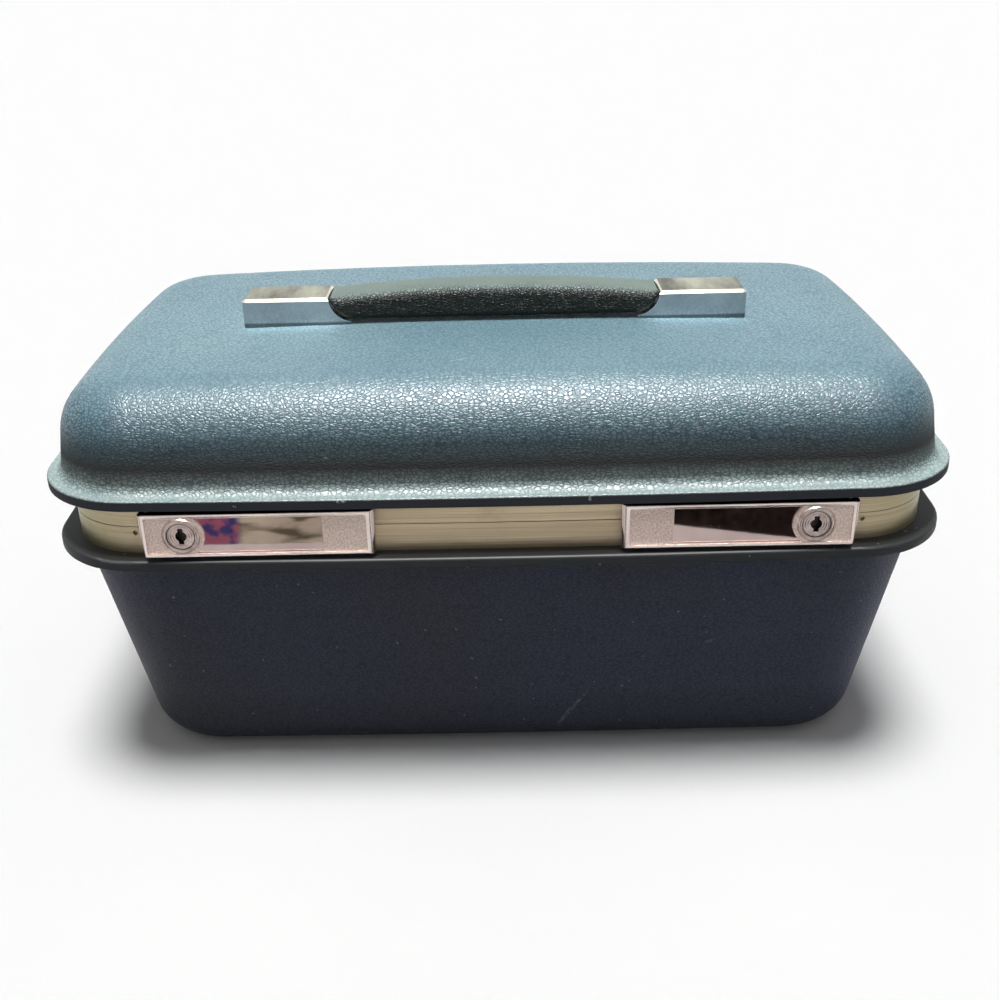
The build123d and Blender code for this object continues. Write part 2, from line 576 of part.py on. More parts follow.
# Latch lever, right hand: pressed cover with a sunk panel, a deeper polished channel and a bevelled finger end
with BuildPart() as lever:
    rear_y = -band_y(LATCH_OUTER, BAND_INSET - LEVER_BAND_GAP)
    with BuildSketch(Plane.XY.offset(LATCH_LOW)) as lever_plan:
        with BuildLine():
            Polyline((LATCH_INNER, rear_y), (LATCH_INNER, LATCH_FACE_Y), (LATCH_OUTER, LATCH_FACE_Y),
                     (LATCH_OUTER, rear_y), close=True)
        make_face()
        outer_corners = lever_plan.vertices().sort_by(Axis.X)[-2:]
        fillet(outer_corners.sort_by(Axis.Y)[0], LEVER_CORNER)
        fillet(lever_plan.vertices().group_by(Axis.Y)[-1].sort_by(Axis.X)[-1], LEVER_CORNER)
        chamfer(lever_plan.vertices().group_by(Axis.Y)[0].sort_by(Axis.X)[0], FINGER_BEVEL)
    extrude(amount=LATCH_HIGH - LATCH_LOW)
    front_edges = lever.faces().sort_by(Axis.Y)[0].edges().filter_by(Axis.X)
    fillet(front_edges, LEVER_EDGE)
    with BuildSketch(Plane.XZ):
        with BuildLine():
            Polyline((LATCH_OUTER, LATCH_HIGH), (LATCH_OUTER - LATCH_SLANT, LATCH_LOW),
                     (LATCH_OUTER + 1, LATCH_LOW - 1), (LATCH_OUTER + 1, LATCH_HIGH), close=True)
        make_face()
    extrude(amount=HALF_Y, mode=Mode.SUBTRACT)
    with BuildSketch(Plane.XZ.offset(-FIELD_Y)):
        with Locations(((LATCH_INNER + LATCH_OUTER) / 2, LATCH_Z)):
            RectangleRounded(LATCH_LENGTH - 4 * LEVER_RIM, FIELD_HIGH - FIELD_LOW, PANEL_CORNER)
    extrude(amount=5, mode=Mode.SUBTRACT)
    with BuildSketch(Plane.XZ.offset(-FIELD_Y)) as channel:
        with Locations(((CHANNEL_START + LOCK_X) / 2, LATCH_Z)):
            Rectangle(LOCK_X - CHANNEL_START, FIELD_HIGH - FIELD_LOW - 2 * CHANNEL_EDGE)
        with Locations((LOCK_X, LATCH_Z)):
            Circle(BEZEL_RADIUS + LOCK_COLLAR, mode=Mode.SUBTRACT)
    extrude(amount=PANEL_SINK - CHANNEL_SINK, mode=Mode.SUBTRACT)
    add(slab(BAND_INSET - LEVER_BAND_GAP, LATCH_LOW - 1, LATCH_HIGH + 1), mode=Mode.SUBTRACT)
    hollow_low, hollow_high = LATCH_LOW + LEVER_WALL, LATCH_HIGH - LEVER_WALL
    hollow_end = LATCH_PIVOT_X + LUG_RADIUS + PIVOT_ROOM
    add(block((LATCH_INNER + LEVER_WALL, LEVER_BACK_Y, hollow_low), (hollow_end, 0, hollow_high)),
        mode=Mode.SUBTRACT)
    add(block((LATCH_PIVOT_X, LATCH_PIVOT_Y - PIVOT_ROOM, hollow_low), (LATCH_OUTER + 1, 0, hollow_high)),
        mode=Mode.SUBTRACT)
    add(rod((LATCH_PIVOT_X, LATCH_PIVOT_Y, LATCH_LOW - 1), (LATCH_PIVOT_X, LATCH_PIVOT_Y, LATCH_HIGH + 1),
            LATCH_PIN_RADIUS + PIN_PLAY), mode=Mode.SUBTRACT)
    add(rod((LOCK_X, LATCH_FACE_Y - 1, LATCH_Z), (LOCK_X, LEVER_BACK_Y + 1, LATCH_Z), BEZEL_NECK + PIN_PLAY),
        mode=Mode.SUBTRACT)

# Latch plate, right hand: strip riveted to the base's band, open above the keeper, with two lugs for the pin
with BuildPart() as plate:
    plate_low, plate_high = LATCH_LOW + PLATE_MARGIN, LATCH_HIGH - PLATE_MARGIN
    plate_end = LATCH_PIVOT_X - LUG_REACH
    lug_root = plate_end - LUG_REACH / 2
    strip = block((LATCH_INNER + PLATE_SETBACK, -HALF_Y, plate_low), (plate_end, 0, plate_high))
    add(slab(BAND_INSET - PLATE_WALL, plate_low, plate_high) & strip)
    for low in (plate_low + LATCH_PIN_STAND, plate_high - LATCH_PIN_STAND - LUG_WALL):
        with BuildSketch(Plane.XY.offset(low)):
            with Locations((LATCH_PIVOT_X, LATCH_PIVOT_Y)):
                Circle(LUG_RADIUS)
            with Locations((lug_root, -band_y(lug_root, BAND_INSET - PLATE_WALL))):
                Circle(PLATE_WALL)
            make_hull()
        extrude(amount=LUG_WALL)
    add(slab(BAND_INSET, FLANGE_Z, LID_Z), mode=Mode.SUBTRACT)
    window = KEEPER_WIDTH / 2 + 1
    add(block((BOLT_X - window, -HALF_Y, BOLT_Z - KEEPER_HEIGHT), (BOLT_X + window, 0, plate_high + 1)),
        mode=Mode.SUBTRACT)
    add(rod((LATCH_PIVOT_X, LATCH_PIVOT_Y, LATCH_LOW), (LATCH_PIVOT_X, LATCH_PIVOT_Y, LATCH_HIGH),
            LATCH_PIN_RADIUS + PIN_PLAY), mode=Mode.SUBTRACT)
    for x in PLATE_RIVET_X:
        add(rod((x, -HALF_Y, PLATE_RIVET_Z), (x, 0, PLATE_RIVET_Z), RIVET_RADIUS + PIN_PLAY), mode=Mode.SUBTRACT)

with BuildPart() as latch_pin:
    add(rod((LATCH_PIVOT_X, LATCH_PIVOT_Y, LATCH_LOW + LATCH_PIN_STAND),
            (LATCH_PIVOT_X, LATCH_PIVOT_Y, LATCH_HIGH - LATCH_PIN_STAND), LATCH_PIN_RADIUS))

# Bolt, right hand: foot inside the lever and a rounded peg that faces the keeper
with BuildPart() as bolt:
    tip_y = -band_y(BOLT_X) - BOLT_GAP
    foot = BOLT_RADIUS + BOLT_FOOT
    add(block((BOLT_X - 2 * foot, LEVER_BACK_Y, BOLT_Z - foot),
              (BOLT_X + 2 * foot, LEVER_BACK_Y + BOLT_FOOT_WALL, BOLT_Z + foot)))
    add(rod((BOLT_X, LEVER_BACK_Y, BOLT_Z), (BOLT_X, tip_y, BOLT_Z), BOLT_RADIUS))
    chamfer(bolt.edges().filter_by(GeomType.CIRCLE).sort_by(Axis.Y)[-1], BOLT_TIP)

# Keeper, right hand: steel plate let into the lid frame, with the hole that the bolt faces
with BuildPart() as keeper:
    low = BOLT_Z - KEEPER_HEIGHT / 2
    socket = block((BOLT_X - KEEPER_WIDTH / 2, -HALF_Y, low),
                   (BOLT_X + KEEPER_WIDTH / 2, -band_y(BOLT_X) + KEEPER_WALL, low + KEEPER_HEIGHT))
    add(slab(BAND_INSET, low, low + KEEPER_HEIGHT) & socket)
    add(rod((BOLT_X, -HALF_Y, BOLT_Z), (BOLT_X, 0, BOLT_Z), BOLT_RADIUS + KEEPER_PLAY), mode=Mode.SUBTRACT)

# Spring, right hand: bent strip on the plate that pushes the lever's finger end out
with BuildPart() as spring:
    foot_x = PLATE_RIVET_X[0] + RIVET_HEAD_RADIUS + SPRING_FOOT / 2
    foot_y = -band_y(foot_x, BAND_INSET - PLATE_WALL) - SPRING_WALL / 2 - PIN_PLAY
    with BuildSketch(Plane.XY.offset(LATCH_Z - SPRING_WIDTH / 2)):
        with BuildLine():
            Polyline((foot_x + SPRING_FOOT, foot_y), (foot_x, foot_y),
                     (LATCH_INNER + SPRING_SETBACK, LEVER_BACK_Y + SPRING_GAP))
        trace(line_width=SPRING_WALL)
    extrude(amount=SPRING_WIDTH)

# Lock, right hand: bezel, cylinder with a key slot, and the cam behind it
with BuildPart() as lock_bezel:
    add(rod((LOCK_X, FIELD_Y - BEZEL_STAND, LATCH_Z), (LOCK_X, FIELD_Y, LATCH_Z), BEZEL_RADIUS))
    chamfer(lock_bezel.edges().filter_by(GeomType.CIRCLE).sort_by(Axis.Y)[0], BEZEL_EDGE_CUT)
    add(rod((LOCK_X, FIELD_Y, LATCH_Z), (LOCK_X, LEVER_BACK_Y + BEZEL_SPREAD, LATCH_Z), BEZEL_NECK))
    add(rod((LOCK_X, LATCH_FACE_Y - 2, LATCH_Z), (LOCK_X, 0, LATCH_Z), LOCK_RADIUS + LOCK_PLAY), mode=Mode.SUBTRACT)

with BuildPart() as lock_cylinder:
    front_y = FIELD_Y - LOCK_STAND
    add(rod((LOCK_X, front_y, LATCH_Z), (LOCK_X, front_y + LOCK_DEPTH, LATCH_Z), LOCK_RADIUS))
    chamfer(lock_cylinder.edges().filter_by(GeomType.CIRCLE).sort_by(Axis.Y)[0], LOCK_EDGE)
    with BuildSketch(Plane.XZ.offset(-front_y)):
        with Locations((LOCK_X, LATCH_Z)):
            Circle(KEY_HOLE_RADIUS)
            Rectangle(KEY_SLOT_WIDTH, KEY_SLOT_HEIGHT)
    extrude(amount=-KEY_DEPTH, mode=Mode.SUBTRACT)

with BuildPart() as lock_cam:
    cam_y = front_y + LOCK_DEPTH
    with BuildSketch(Plane.XZ.offset(-cam_y)):
        with Locations((LOCK_X, LATCH_Z)):
            Circle(CAM_HUB_RADIUS)
        with Locations((LOCK_X - CAM_REACH + CAM_TIP_RADIUS, LATCH_Z)):
            Circle(CAM_TIP_RADIUS)
        make_hull()
    extrude(amount=-CAM_WALL)

# Each latch piece is written for the right hand and mirrored for the left
LATCH_PIECES = {
    "latch_lever": lever, "latch_plate": plate, "latch_pin": latch_pin, "latch_bolt": bolt,
    "latch_keeper": keeper, "latch_spring": spring, "lock_bezel": lock_bezel,
    "lock_cylinder": lock_cylinder, "lock_cam": lock_cam,
}
for piece, right in LATCH_PIECES.items():
    for name, side in SIDES.items():
        with BuildPart() as handed:
            if side > 0:
                add(right.part)
            else:
                mirror(right.part, about=Plane.YZ)
        handed.part.label = f"{name}_{piece}"
        export_step(handed.part, f"parts/{name}_{piece}.step")

# Handle cap, right hand: hollow cast cap whose inner ends sweep down to thin wings
swoosh_x, swoosh_z = CAP_TOP_INNER - SWOOSH_RADIUS, CAP_TOP_Z
half_depth = HANDLE_DEPTH / 2
tip_z = swoosh_z - math.sqrt(SWOOSH_RADIUS ** 2 - (CAP_TIP - swoosh_x) ** 2)
CROWN_BALL_Z = LID_TOP - CROWN_RADIUS
with BuildPart() as cap:
    with BuildSketch(Plane.XZ.offset(-HANDLE_Y - half_depth)):
        with BuildLine():
            mid = math.radians(-45)
            ThreePointArc((CAP_TOP_INNER, CAP_TOP_Z),
                          (swoosh_x + SWOOSH_RADIUS * math.cos(mid), swoosh_z + SWOOSH_RADIUS * math.sin(mid)),
                          (CAP_TIP, tip_z))
            Polyline((CAP_TIP, tip_z), (CAP_TIP, LID_TOP - 3), (CAP_OUTER, LID_TOP - 3), (CAP_OUTER, CAP_TOP_Z),
                     (CAP_TOP_INNER, CAP_TOP_Z))
        make_face()
    extrude(amount=HANDLE_DEPTH)
    outer_uprights = cap.edges().filter_by(Axis.Z).group_by(Axis.X)[-1]
    fillet(outer_uprights, CAP_CORNER)
    top_edges = cap.faces().sort_by(Axis.Z)[-1].edges()
    chamfer(top_edges, CAP_EDGE)
    add(block((CAP_TIP - 1, HANDLE_Y - half_depth + CAP_WALL, LID_TOP - 4),
              (CAP_OUTER - CAP_WALL, HANDLE_Y + half_depth - CAP_WALL, CAP_TOP_Z - CAP_WALL)), mode=Mode.SUBTRACT)
    for x in SCREW_X:
        add(rod((x, HANDLE_Y, LID_TOP - 3), (x, HANDLE_Y, CAP_TOP_Z - CAP_WALL), BOSS_RADIUS))
        add(rod((x, HANDLE_Y, LID_TOP - 4), (x, HANDLE_Y, CAP_TOP_Z - 3 * CAP_WALL), SCREW_RADIUS + PIN_PLAY),
            mode=Mode.SUBTRACT)
    pin_reach = half_depth - CAP_WALL / 2
    add(rod((LINK_PIVOT_X, HANDLE_Y - pin_reach, LINK_PIVOT_Z), (LINK_PIVOT_X, HANDLE_Y + pin_reach, LINK_PIVOT_Z),
            LINK_PIN_RADIUS + PIN_PLAY), mode=Mode.SUBTRACT)
    with Locations((0, 0, CROWN_BALL_Z)):
        Sphere(CROWN_RADIUS, mode=Mode.SUBTRACT)

# Link, right hand: barrel on the cap's pin, flat stem, and a slotted eye for the grip's pin
slot_travel = math.hypot(LINK_LENGTH, LIFT) - LINK_LENGTH
eye_radius = LINK_PIN_RADIUS + SLOT_PLAY
eye_x = LINK_PIVOT_X - LINK_LENGTH
with BuildPart() as link:
    with BuildSketch(Plane.XZ.offset(-HANDLE_Y - LINK_WALL / 2)):
        with Locations((LINK_PIVOT_X, LINK_PIVOT_Z)):
            Circle(LINK_HALF_HEIGHT)
        with Locations((eye_x - slot_travel, LINK_PIVOT_Z)):
            Circle(eye_radius + LINK_EYE_WALL)
        make_hull()
    extrude(amount=LINK_WALL)
    barrel = LINK_BARREL / 2
    add(rod((LINK_PIVOT_X, HANDLE_Y - barrel, LINK_PIVOT_Z), (LINK_PIVOT_X, HANDLE_Y + barrel, LINK_PIVOT_Z),
            LINK_HALF_HEIGHT))
    add(rod((LINK_PIVOT_X, HANDLE_Y - LINK_BARREL, LINK_PIVOT_Z),
            (LINK_PIVOT_X, HANDLE_Y + LINK_BARREL, LINK_PIVOT_Z), LINK_PIN_RADIUS + PIN_PLAY), mode=Mode.SUBTRACT)
    with BuildSketch(Plane.XZ.offset(-HANDLE_Y - LINK_WALL / 2)):
        with Locations((eye_x - slot_travel / 2, LINK_PIVOT_Z)):
            SlotOverall(slot_travel + 2 * eye_radius, 2 * eye_radius)
    extrude(amount=LINK_WALL, mode=Mode.SUBTRACT)

for piece, right in {"handle_cap": cap, "handle_link": link}.items():
    for name, side in SIDES.items():
        with BuildPart() as handed:
            if side > 0:
                add(right.part)
            else:
                mirror(right.part, about=Plane.YZ)
        handed.part.label = f"{name}_{piece}"
        export_step(handed.part, f"parts/{name}_{piece}.step")

# Pins that carry the links in the caps, and screws that hold the caps to the lid
with BuildPart() as handle_link_pins:
    for side in SIDES.values():
        x, reach = side * LINK_PIVOT_X, pin_reach - PIN_PLAY
        add(rod((x, HANDLE_Y - reach, LINK_PIVOT_Z), (x, HANDLE_Y + reach, LINK_PIVOT_Z), LINK_PIN_RADIUS))
handle_link_pins.part.label = "handle_link_pins"
export_step(handle_link_pins.part, "parts/handle_link_pins.step")

with BuildPart() as handle_screws:
    for side in SIDES.values():
        for x in SCREW_X:
            inside = crown_z(x, HANDLE_Y) - LID_WALL
            add(rod((side * x, HANDLE_Y, inside + 2 * PIN_PLAY), (side * x, HANDLE_Y, inside + SCREW_HEAD),
                    SCREW_HEAD_RADIUS))
            add(rod((side * x, HANDLE_Y, inside + SCREW_HEAD), (side * x, HANDLE_Y, CAP_TOP_Z - 4 * CAP_WALL),
                    SCREW_RADIUS))
handle_screws.part.label = "handle_screws"
export_step(handle_screws.part, "parts/handle_screws.step")

# Grip core: steel bar with forked ends, and the pins that run in the links' slots
fork_root = eye_x - slot_travel - eye_radius - LINK_EYE_WALL - CHEEK_GAP
fork_tip = eye_x + LINK_PIN_RADIUS + FORK_TIP
cheek_inner = LINK_WALL / 2 + CHEEK_GAP
with BuildPart() as handle_core:
    add(block((-fork_root, HANDLE_Y - CORE_WIDTH / 2, LINK_PIVOT_Z - CORE_HEIGHT / 2),
              (fork_root, HANDLE_Y + CORE_WIDTH / 2, LINK_PIVOT_Z + CORE_HEIGHT / 2)))
    for side in SIDES.values():
        for face in (-1, 1):
            y = HANDLE_Y + face * (cheek_inner + CHEEK_WALL / 2)
            with BuildSketch(Plane.XZ.offset(-y - CHEEK_WALL / 2)):
                with Locations((side * (fork_root - FORK_OVERLAP + fork_tip) / 2, LINK_PIVOT_Z)):
                    Rectangle(fork_tip - fork_root + FORK_OVERLAP, 2 * LINK_HALF_HEIGHT)
            extrude(amount=CHEEK_WALL)
    for side in SIDES.values():
        add(rod((side * eye_x, HANDLE_Y - half_depth, LINK_PIVOT_Z),
                (side * eye_x, HANDLE_Y + half_depth, LINK_PIVOT_Z), LINK_PIN_RADIUS + PIN_PLAY), mode=Mode.SUBTRACT)
handle_core.part.label = "handle_core"
export_step(handle_core.part, "parts/handle_core.step")

with BuildPart() as handle_core_pins:
    for side in SIDES.values():
        reach = cheek_inner + CHEEK_WALL
        add(rod((side * eye_x, HANDLE_Y - reach, LINK_PIVOT_Z), (side * eye_x, HANDLE_Y + reach, LINK_PIVOT_Z),
                LINK_PIN_RADIUS))
handle_core_pins.part.label = "handle_core_pins"
export_step(handle_core_pins.part, "parts/handle_core_pins.step")

# Grip: padded cover with a bowed top and ends that follow the caps, open below for the links
with BuildPart() as handle_grip:
    end_radius = SWOOSH_RADIUS - GRIP_GAP
    end_top = swoosh_x + end_radius
    under_z = swoosh_z - end_radius
    mid = math.radians(-45)
    mid_x, mid_z = swoosh_x + end_radius * math.cos(mid), swoosh_z + end_radius * math.sin(mid)
    with BuildSketch(Plane.XZ.offset(-HANDLE_Y - half_depth + GRIP_GAP)):
        with BuildLine():
            ThreePointArc((end_top, CAP_TOP_Z), (0, GRIP_CROWN_Z), (-end_top, CAP_TOP_Z))
            ThreePointArc((-end_top, CAP_TOP_Z), (-mid_x, mid_z), (-swoosh_x, under_z))
            Line((-swoosh_x, under_z), (swoosh_x, under_z))
            ThreePointArc((swoosh_x, under_z), (mid_x, mid_z), (end_top, CAP_TOP_Z))
        make_face()
    extrude(amount=HANDLE_DEPTH - 2 * GRIP_GAP)
    long_edges = [edge for edge in handle_grip.edges() if edge.length > 1.9 * swoosh_x]
    top_edges = [edge for edge in long_edges if edge.center().Z > LINK_PIVOT_Z]
    under_edges = [edge for edge in long_edges if edge.center().Z < LINK_PIVOT_Z]
    fillet(top_edges, GRIP_ROUND)
    fillet(under_edges, GRIP_UNDER_ROUND)
    core_y, core_z = CORE_WIDTH / 2 + CORE_GAP, CORE_HEIGHT / 2 + CORE_GAP
    add(block((-fork_root - 1, HANDLE_Y - core_y, LINK_PIVOT_Z - core_z),
              (fork_root + 1, HANDLE_Y + core_y, LINK_PIVOT_Z + core_z)), mode=Mode.SUBTRACT)
    for side in SIDES.values():
        ends = sorted((side * (fork_root - FORK_OVERLAP - POCKET_GAP), side * (end_top + 1)))
        half_pocket = cheek_inner + CHEEK_WALL + POCKET_GAP
        add(block((ends[0], HANDLE_Y - half_pocket, under_z - 1), (ends[1], HANDLE_Y + half_pocket, POCKET_TOP_Z)),
            mode=Mode.SUBTRACT)
handle_grip.part.label = "handle_grip"
export_step(handle_grip.part, "parts/handle_grip.step")
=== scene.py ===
"""The looks of a hard cosmetic train case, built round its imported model.

Every length is in metres, in the model's own frame: +X along the length, +Y towards the hinges, +Z up.
"""

import json
import math
from collections import namedtuple

import bmesh
import bpy
from mathutils import Matrix, Vector


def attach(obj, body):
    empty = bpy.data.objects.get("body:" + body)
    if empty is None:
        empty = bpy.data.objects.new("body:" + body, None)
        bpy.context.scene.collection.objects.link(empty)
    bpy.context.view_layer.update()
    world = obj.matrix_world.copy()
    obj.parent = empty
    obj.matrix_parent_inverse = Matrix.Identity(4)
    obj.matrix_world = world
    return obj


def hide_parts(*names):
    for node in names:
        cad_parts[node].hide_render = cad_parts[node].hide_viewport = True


# Places on the case, repeated from the part's source
HALF_X = 0.1715
HALF_Y = 0.1025
FRONT_BOW = 0.0030
LID_RIM_LOW = 0.1193
LID_RIM_TOP = 0.1231
BASE_RIM_LOW = 0.0940
BASE_INSET_TOP = 0.0085
BASE_INSET_FOOT = 0.0236
BASE_FOOT_BOW = 0.0010
BASE_CORNER = 0.0345
SHELL_WALL = 0.0030
LID_INSET = 0.0044
LID_WALL = 0.0025
LID_DRAFT = math.tan(math.radians(8.0))
LATCH_Z = 0.10895
LOCK_X = 0.1140
LATCH_FACE_Y = -0.1004
FIELD_Y = LATCH_FACE_Y + 0.00035
CHANNEL_Y = LATCH_FACE_Y + 0.0010

# Looks that differ from the material slot, by the end of the node's name
OWN_LOOKS = {"handle_cap": "cap", "lock_bezel": "lock_metal"}

# Grain, as the size of its cells
LID_GRAIN = 0.00108
BASE_GRAIN = 0.00115
GRIP_GRAIN = 0.0011

# Finer patterns, as their scale to the metre
FINE_GRAIN = 2200.0
DUST = 1500.0
STIPPLE = 1500.0
LOCK_RINGS = 7000.0
WEAVE = 8000.0

# Where a tint, a painted shade or painted light begins and ends, by height on the shells and caps, by
# length on the band
# Painted shade low on the lid's sideways walls
PAINTED_WALL_SHADE = (LID_RIM_TOP + 0.010, LID_RIM_TOP + 0.029)
# Pale top of the lid's rim and its flare: partly wear, partly painted light
WORN_AND_LIT_RIM = (LID_RIM_TOP + 0.0035, LID_RIM_TOP + 0.0092)
RIM_EDGE = (LID_RIM_TOP - 0.0006, LID_RIM_TOP - 0.0002)
BASE_WALL_TOP = (BASE_RIM_LOW - 0.0012, BASE_RIM_LOW)
# Painted shade towards the base's foot
BASE_FOOT_SHADE = (0.006, 0.030)
# Painted contact shadow along the foot of the handle caps
CAP_CONTACT_SHADOW = (0.1626, 0.1632)
BAND_CORNER = (0.128, 0.152)

# The same by depth on the latches and locks
FIELD_REACH = 0.00014
FIELD_SOFT = 0.00005
CHANNEL_EDGE = (CHANNEL_Y - 0.0003, CHANNEL_Y - 0.0001)
# Painted shade deep in the key slot
KEY_SLOT_SHADE = (FIELD_Y + 0.0001, FIELD_Y + 0.0006)

# Scratches and chips, each as its centre, its radii and its turn
NICK_GRAIN = 1500.0
LID_NICKS = (
    ((-0.0125, -0.0657, 0.1618), (0.0052, 0.0005, 0.002), (0.0, 0.0, 0.43)),
    ((-0.0604, -0.0957, 0.1364), (0.0012, 0.0012, 0.0004), (0.0, 0.0, 0.0)),
    ((-0.0554, -0.1022, 0.1224), (0.0022, 0.0012, 0.0007), (0.0, 0.0, 0.0)),
    ((0.0326, -0.1024, 0.1218), (0.0006, 0.0012, 0.0012), (0.0, 0.0, 0.0)),
    ((-0.0930, -0.1018, 0.1210), (0.0007, 0.0012, 0.0007), (0.0, 0.0, 0.0)),
)
SCUFF_GRAIN = 1300.0
SCUFF_LEAN = math.atan2(0.020, 0.013)
BASE_SCUFF = ((0.0280, -0.0820, 0.0186), (0.0130, 0.006, 0.0011), (0.0, -SCUFF_LEAN, 0.0))
BASE_SCRATCH = ((0.0815, -0.0873, 0.0526), (0.0030, 0.003, 0.0007), (0.0, -0.5, 0.0))

# The padded grip
GRIP_Y = -0.0085
GRIP_HALF_DEPTH = 0.0100
GRIP_HALF_FLAT = 0.0560
GRIP_END_RADIUS = 0.0090
GRIP_TOP_Z = 0.1725
GRIP_BOW = 0.0034
GRIP_ROUND = 0.0040
GRIP_UNDER_ROUND = 0.0022
GRIP_SKIN = 0.0014
GRIP_SLOT_X = 0.0340
GRIP_SLOT_Y = 0.0042
GRIP_CROWN = 0.0002
GRIP_END_CUT = 0.0002
GRIP_STATIONS = 48
TOP_ROUND_SHARE = 0.55
TOP_ROUND_STEPS = 8
UNDER_ROUND_SHARE = 0.40
UNDER_ROUND_STEPS = 6
TOP_SHARES = (0.45, 0.2, 0.0)

# The quilted linings
QUILT_PITCH = 0.0200
BASE_PUFF = 0.0009
LID_PUFF = 0.0022
LINING_GAP = 0.0014
LINING_WALL = 0.0011
LINING_TOP = 0.0898
LID_LINING_FOOT = 0.1253
LID_CEILING = 0.1554
LID_LINING_ROUND = 0.0180
BASE_LINING_ROUND = 0.0095
BASE_LINING_CORNER = BASE_CORNER - SHELL_WALL - LINING_GAP
LID_LINING_CORNER = 0.0291
BASE_FLOOR = SHELL_WALL + LINING_GAP
EDGE_FADE = 0.003
FLAT_FADE_SLOPE = 20
ROUND_COUNT = 420
FLAT_ROWS = 43
BEND_ROWS = 12
WALL_ROWS = 36

# The camera, fitted to the photograph
CAMERA_PLACE = (0.001746, -0.490667, 0.301420)
CAMERA_PITCH = 26.82
CAMERA_YAW = -0.462
CAMERA_ROLL = -1.347
CAMERA_LENS = 43.70
CAMERA_SHIFT = (0.00554, 0.0426)
CAMERA_NEAR = 0.01

# The studio: a lamp is its strength, its spread and its tilt towards the front
FLOOR_SIZE = 60.0
AMBIENT = 0.19
WHITE = (1.0, 1.0, 1.0, 1.0)
FLOOR_BOUNCE = (0.12, 0.12, 0.12, 1.0)
OVERHEAD_LAMP = (2.50, 20.0, 2.0)
GLINT_LAMP = (24.0, 5.0, 14.0)
CARD_Y = -0.20
DARK_CARD = ((0.070, 0.0612), (0.150, 0.0500), (0.150, 0.080), (0.070, 0.080))
MIXED_CARD = ((-0.150, 0.0545), (-0.070, 0.0545), (-0.070, 0.080), (-0.150, 0.080))
CARD_PATCH = ((-0.130, CARD_Y, 0.065), (0.016, 0.05, 0.05))


def socket(group, name):
    """The first enabled socket of that name: some nodes have one for each kind of data."""
    return next(item for item in group if item.name == name and item.enabled)


def rgb(red, green, blue):
    """A colour that is written as screen values from 0 to 255, as the shader's linear colour."""
    def linear(value):
        value /= 255
        return value / 12.92 if value <= 0.04045 else ((value + 0.055) / 1.055) ** 2.4
    return (linear(red), linear(green), linear(blue), 1.0)


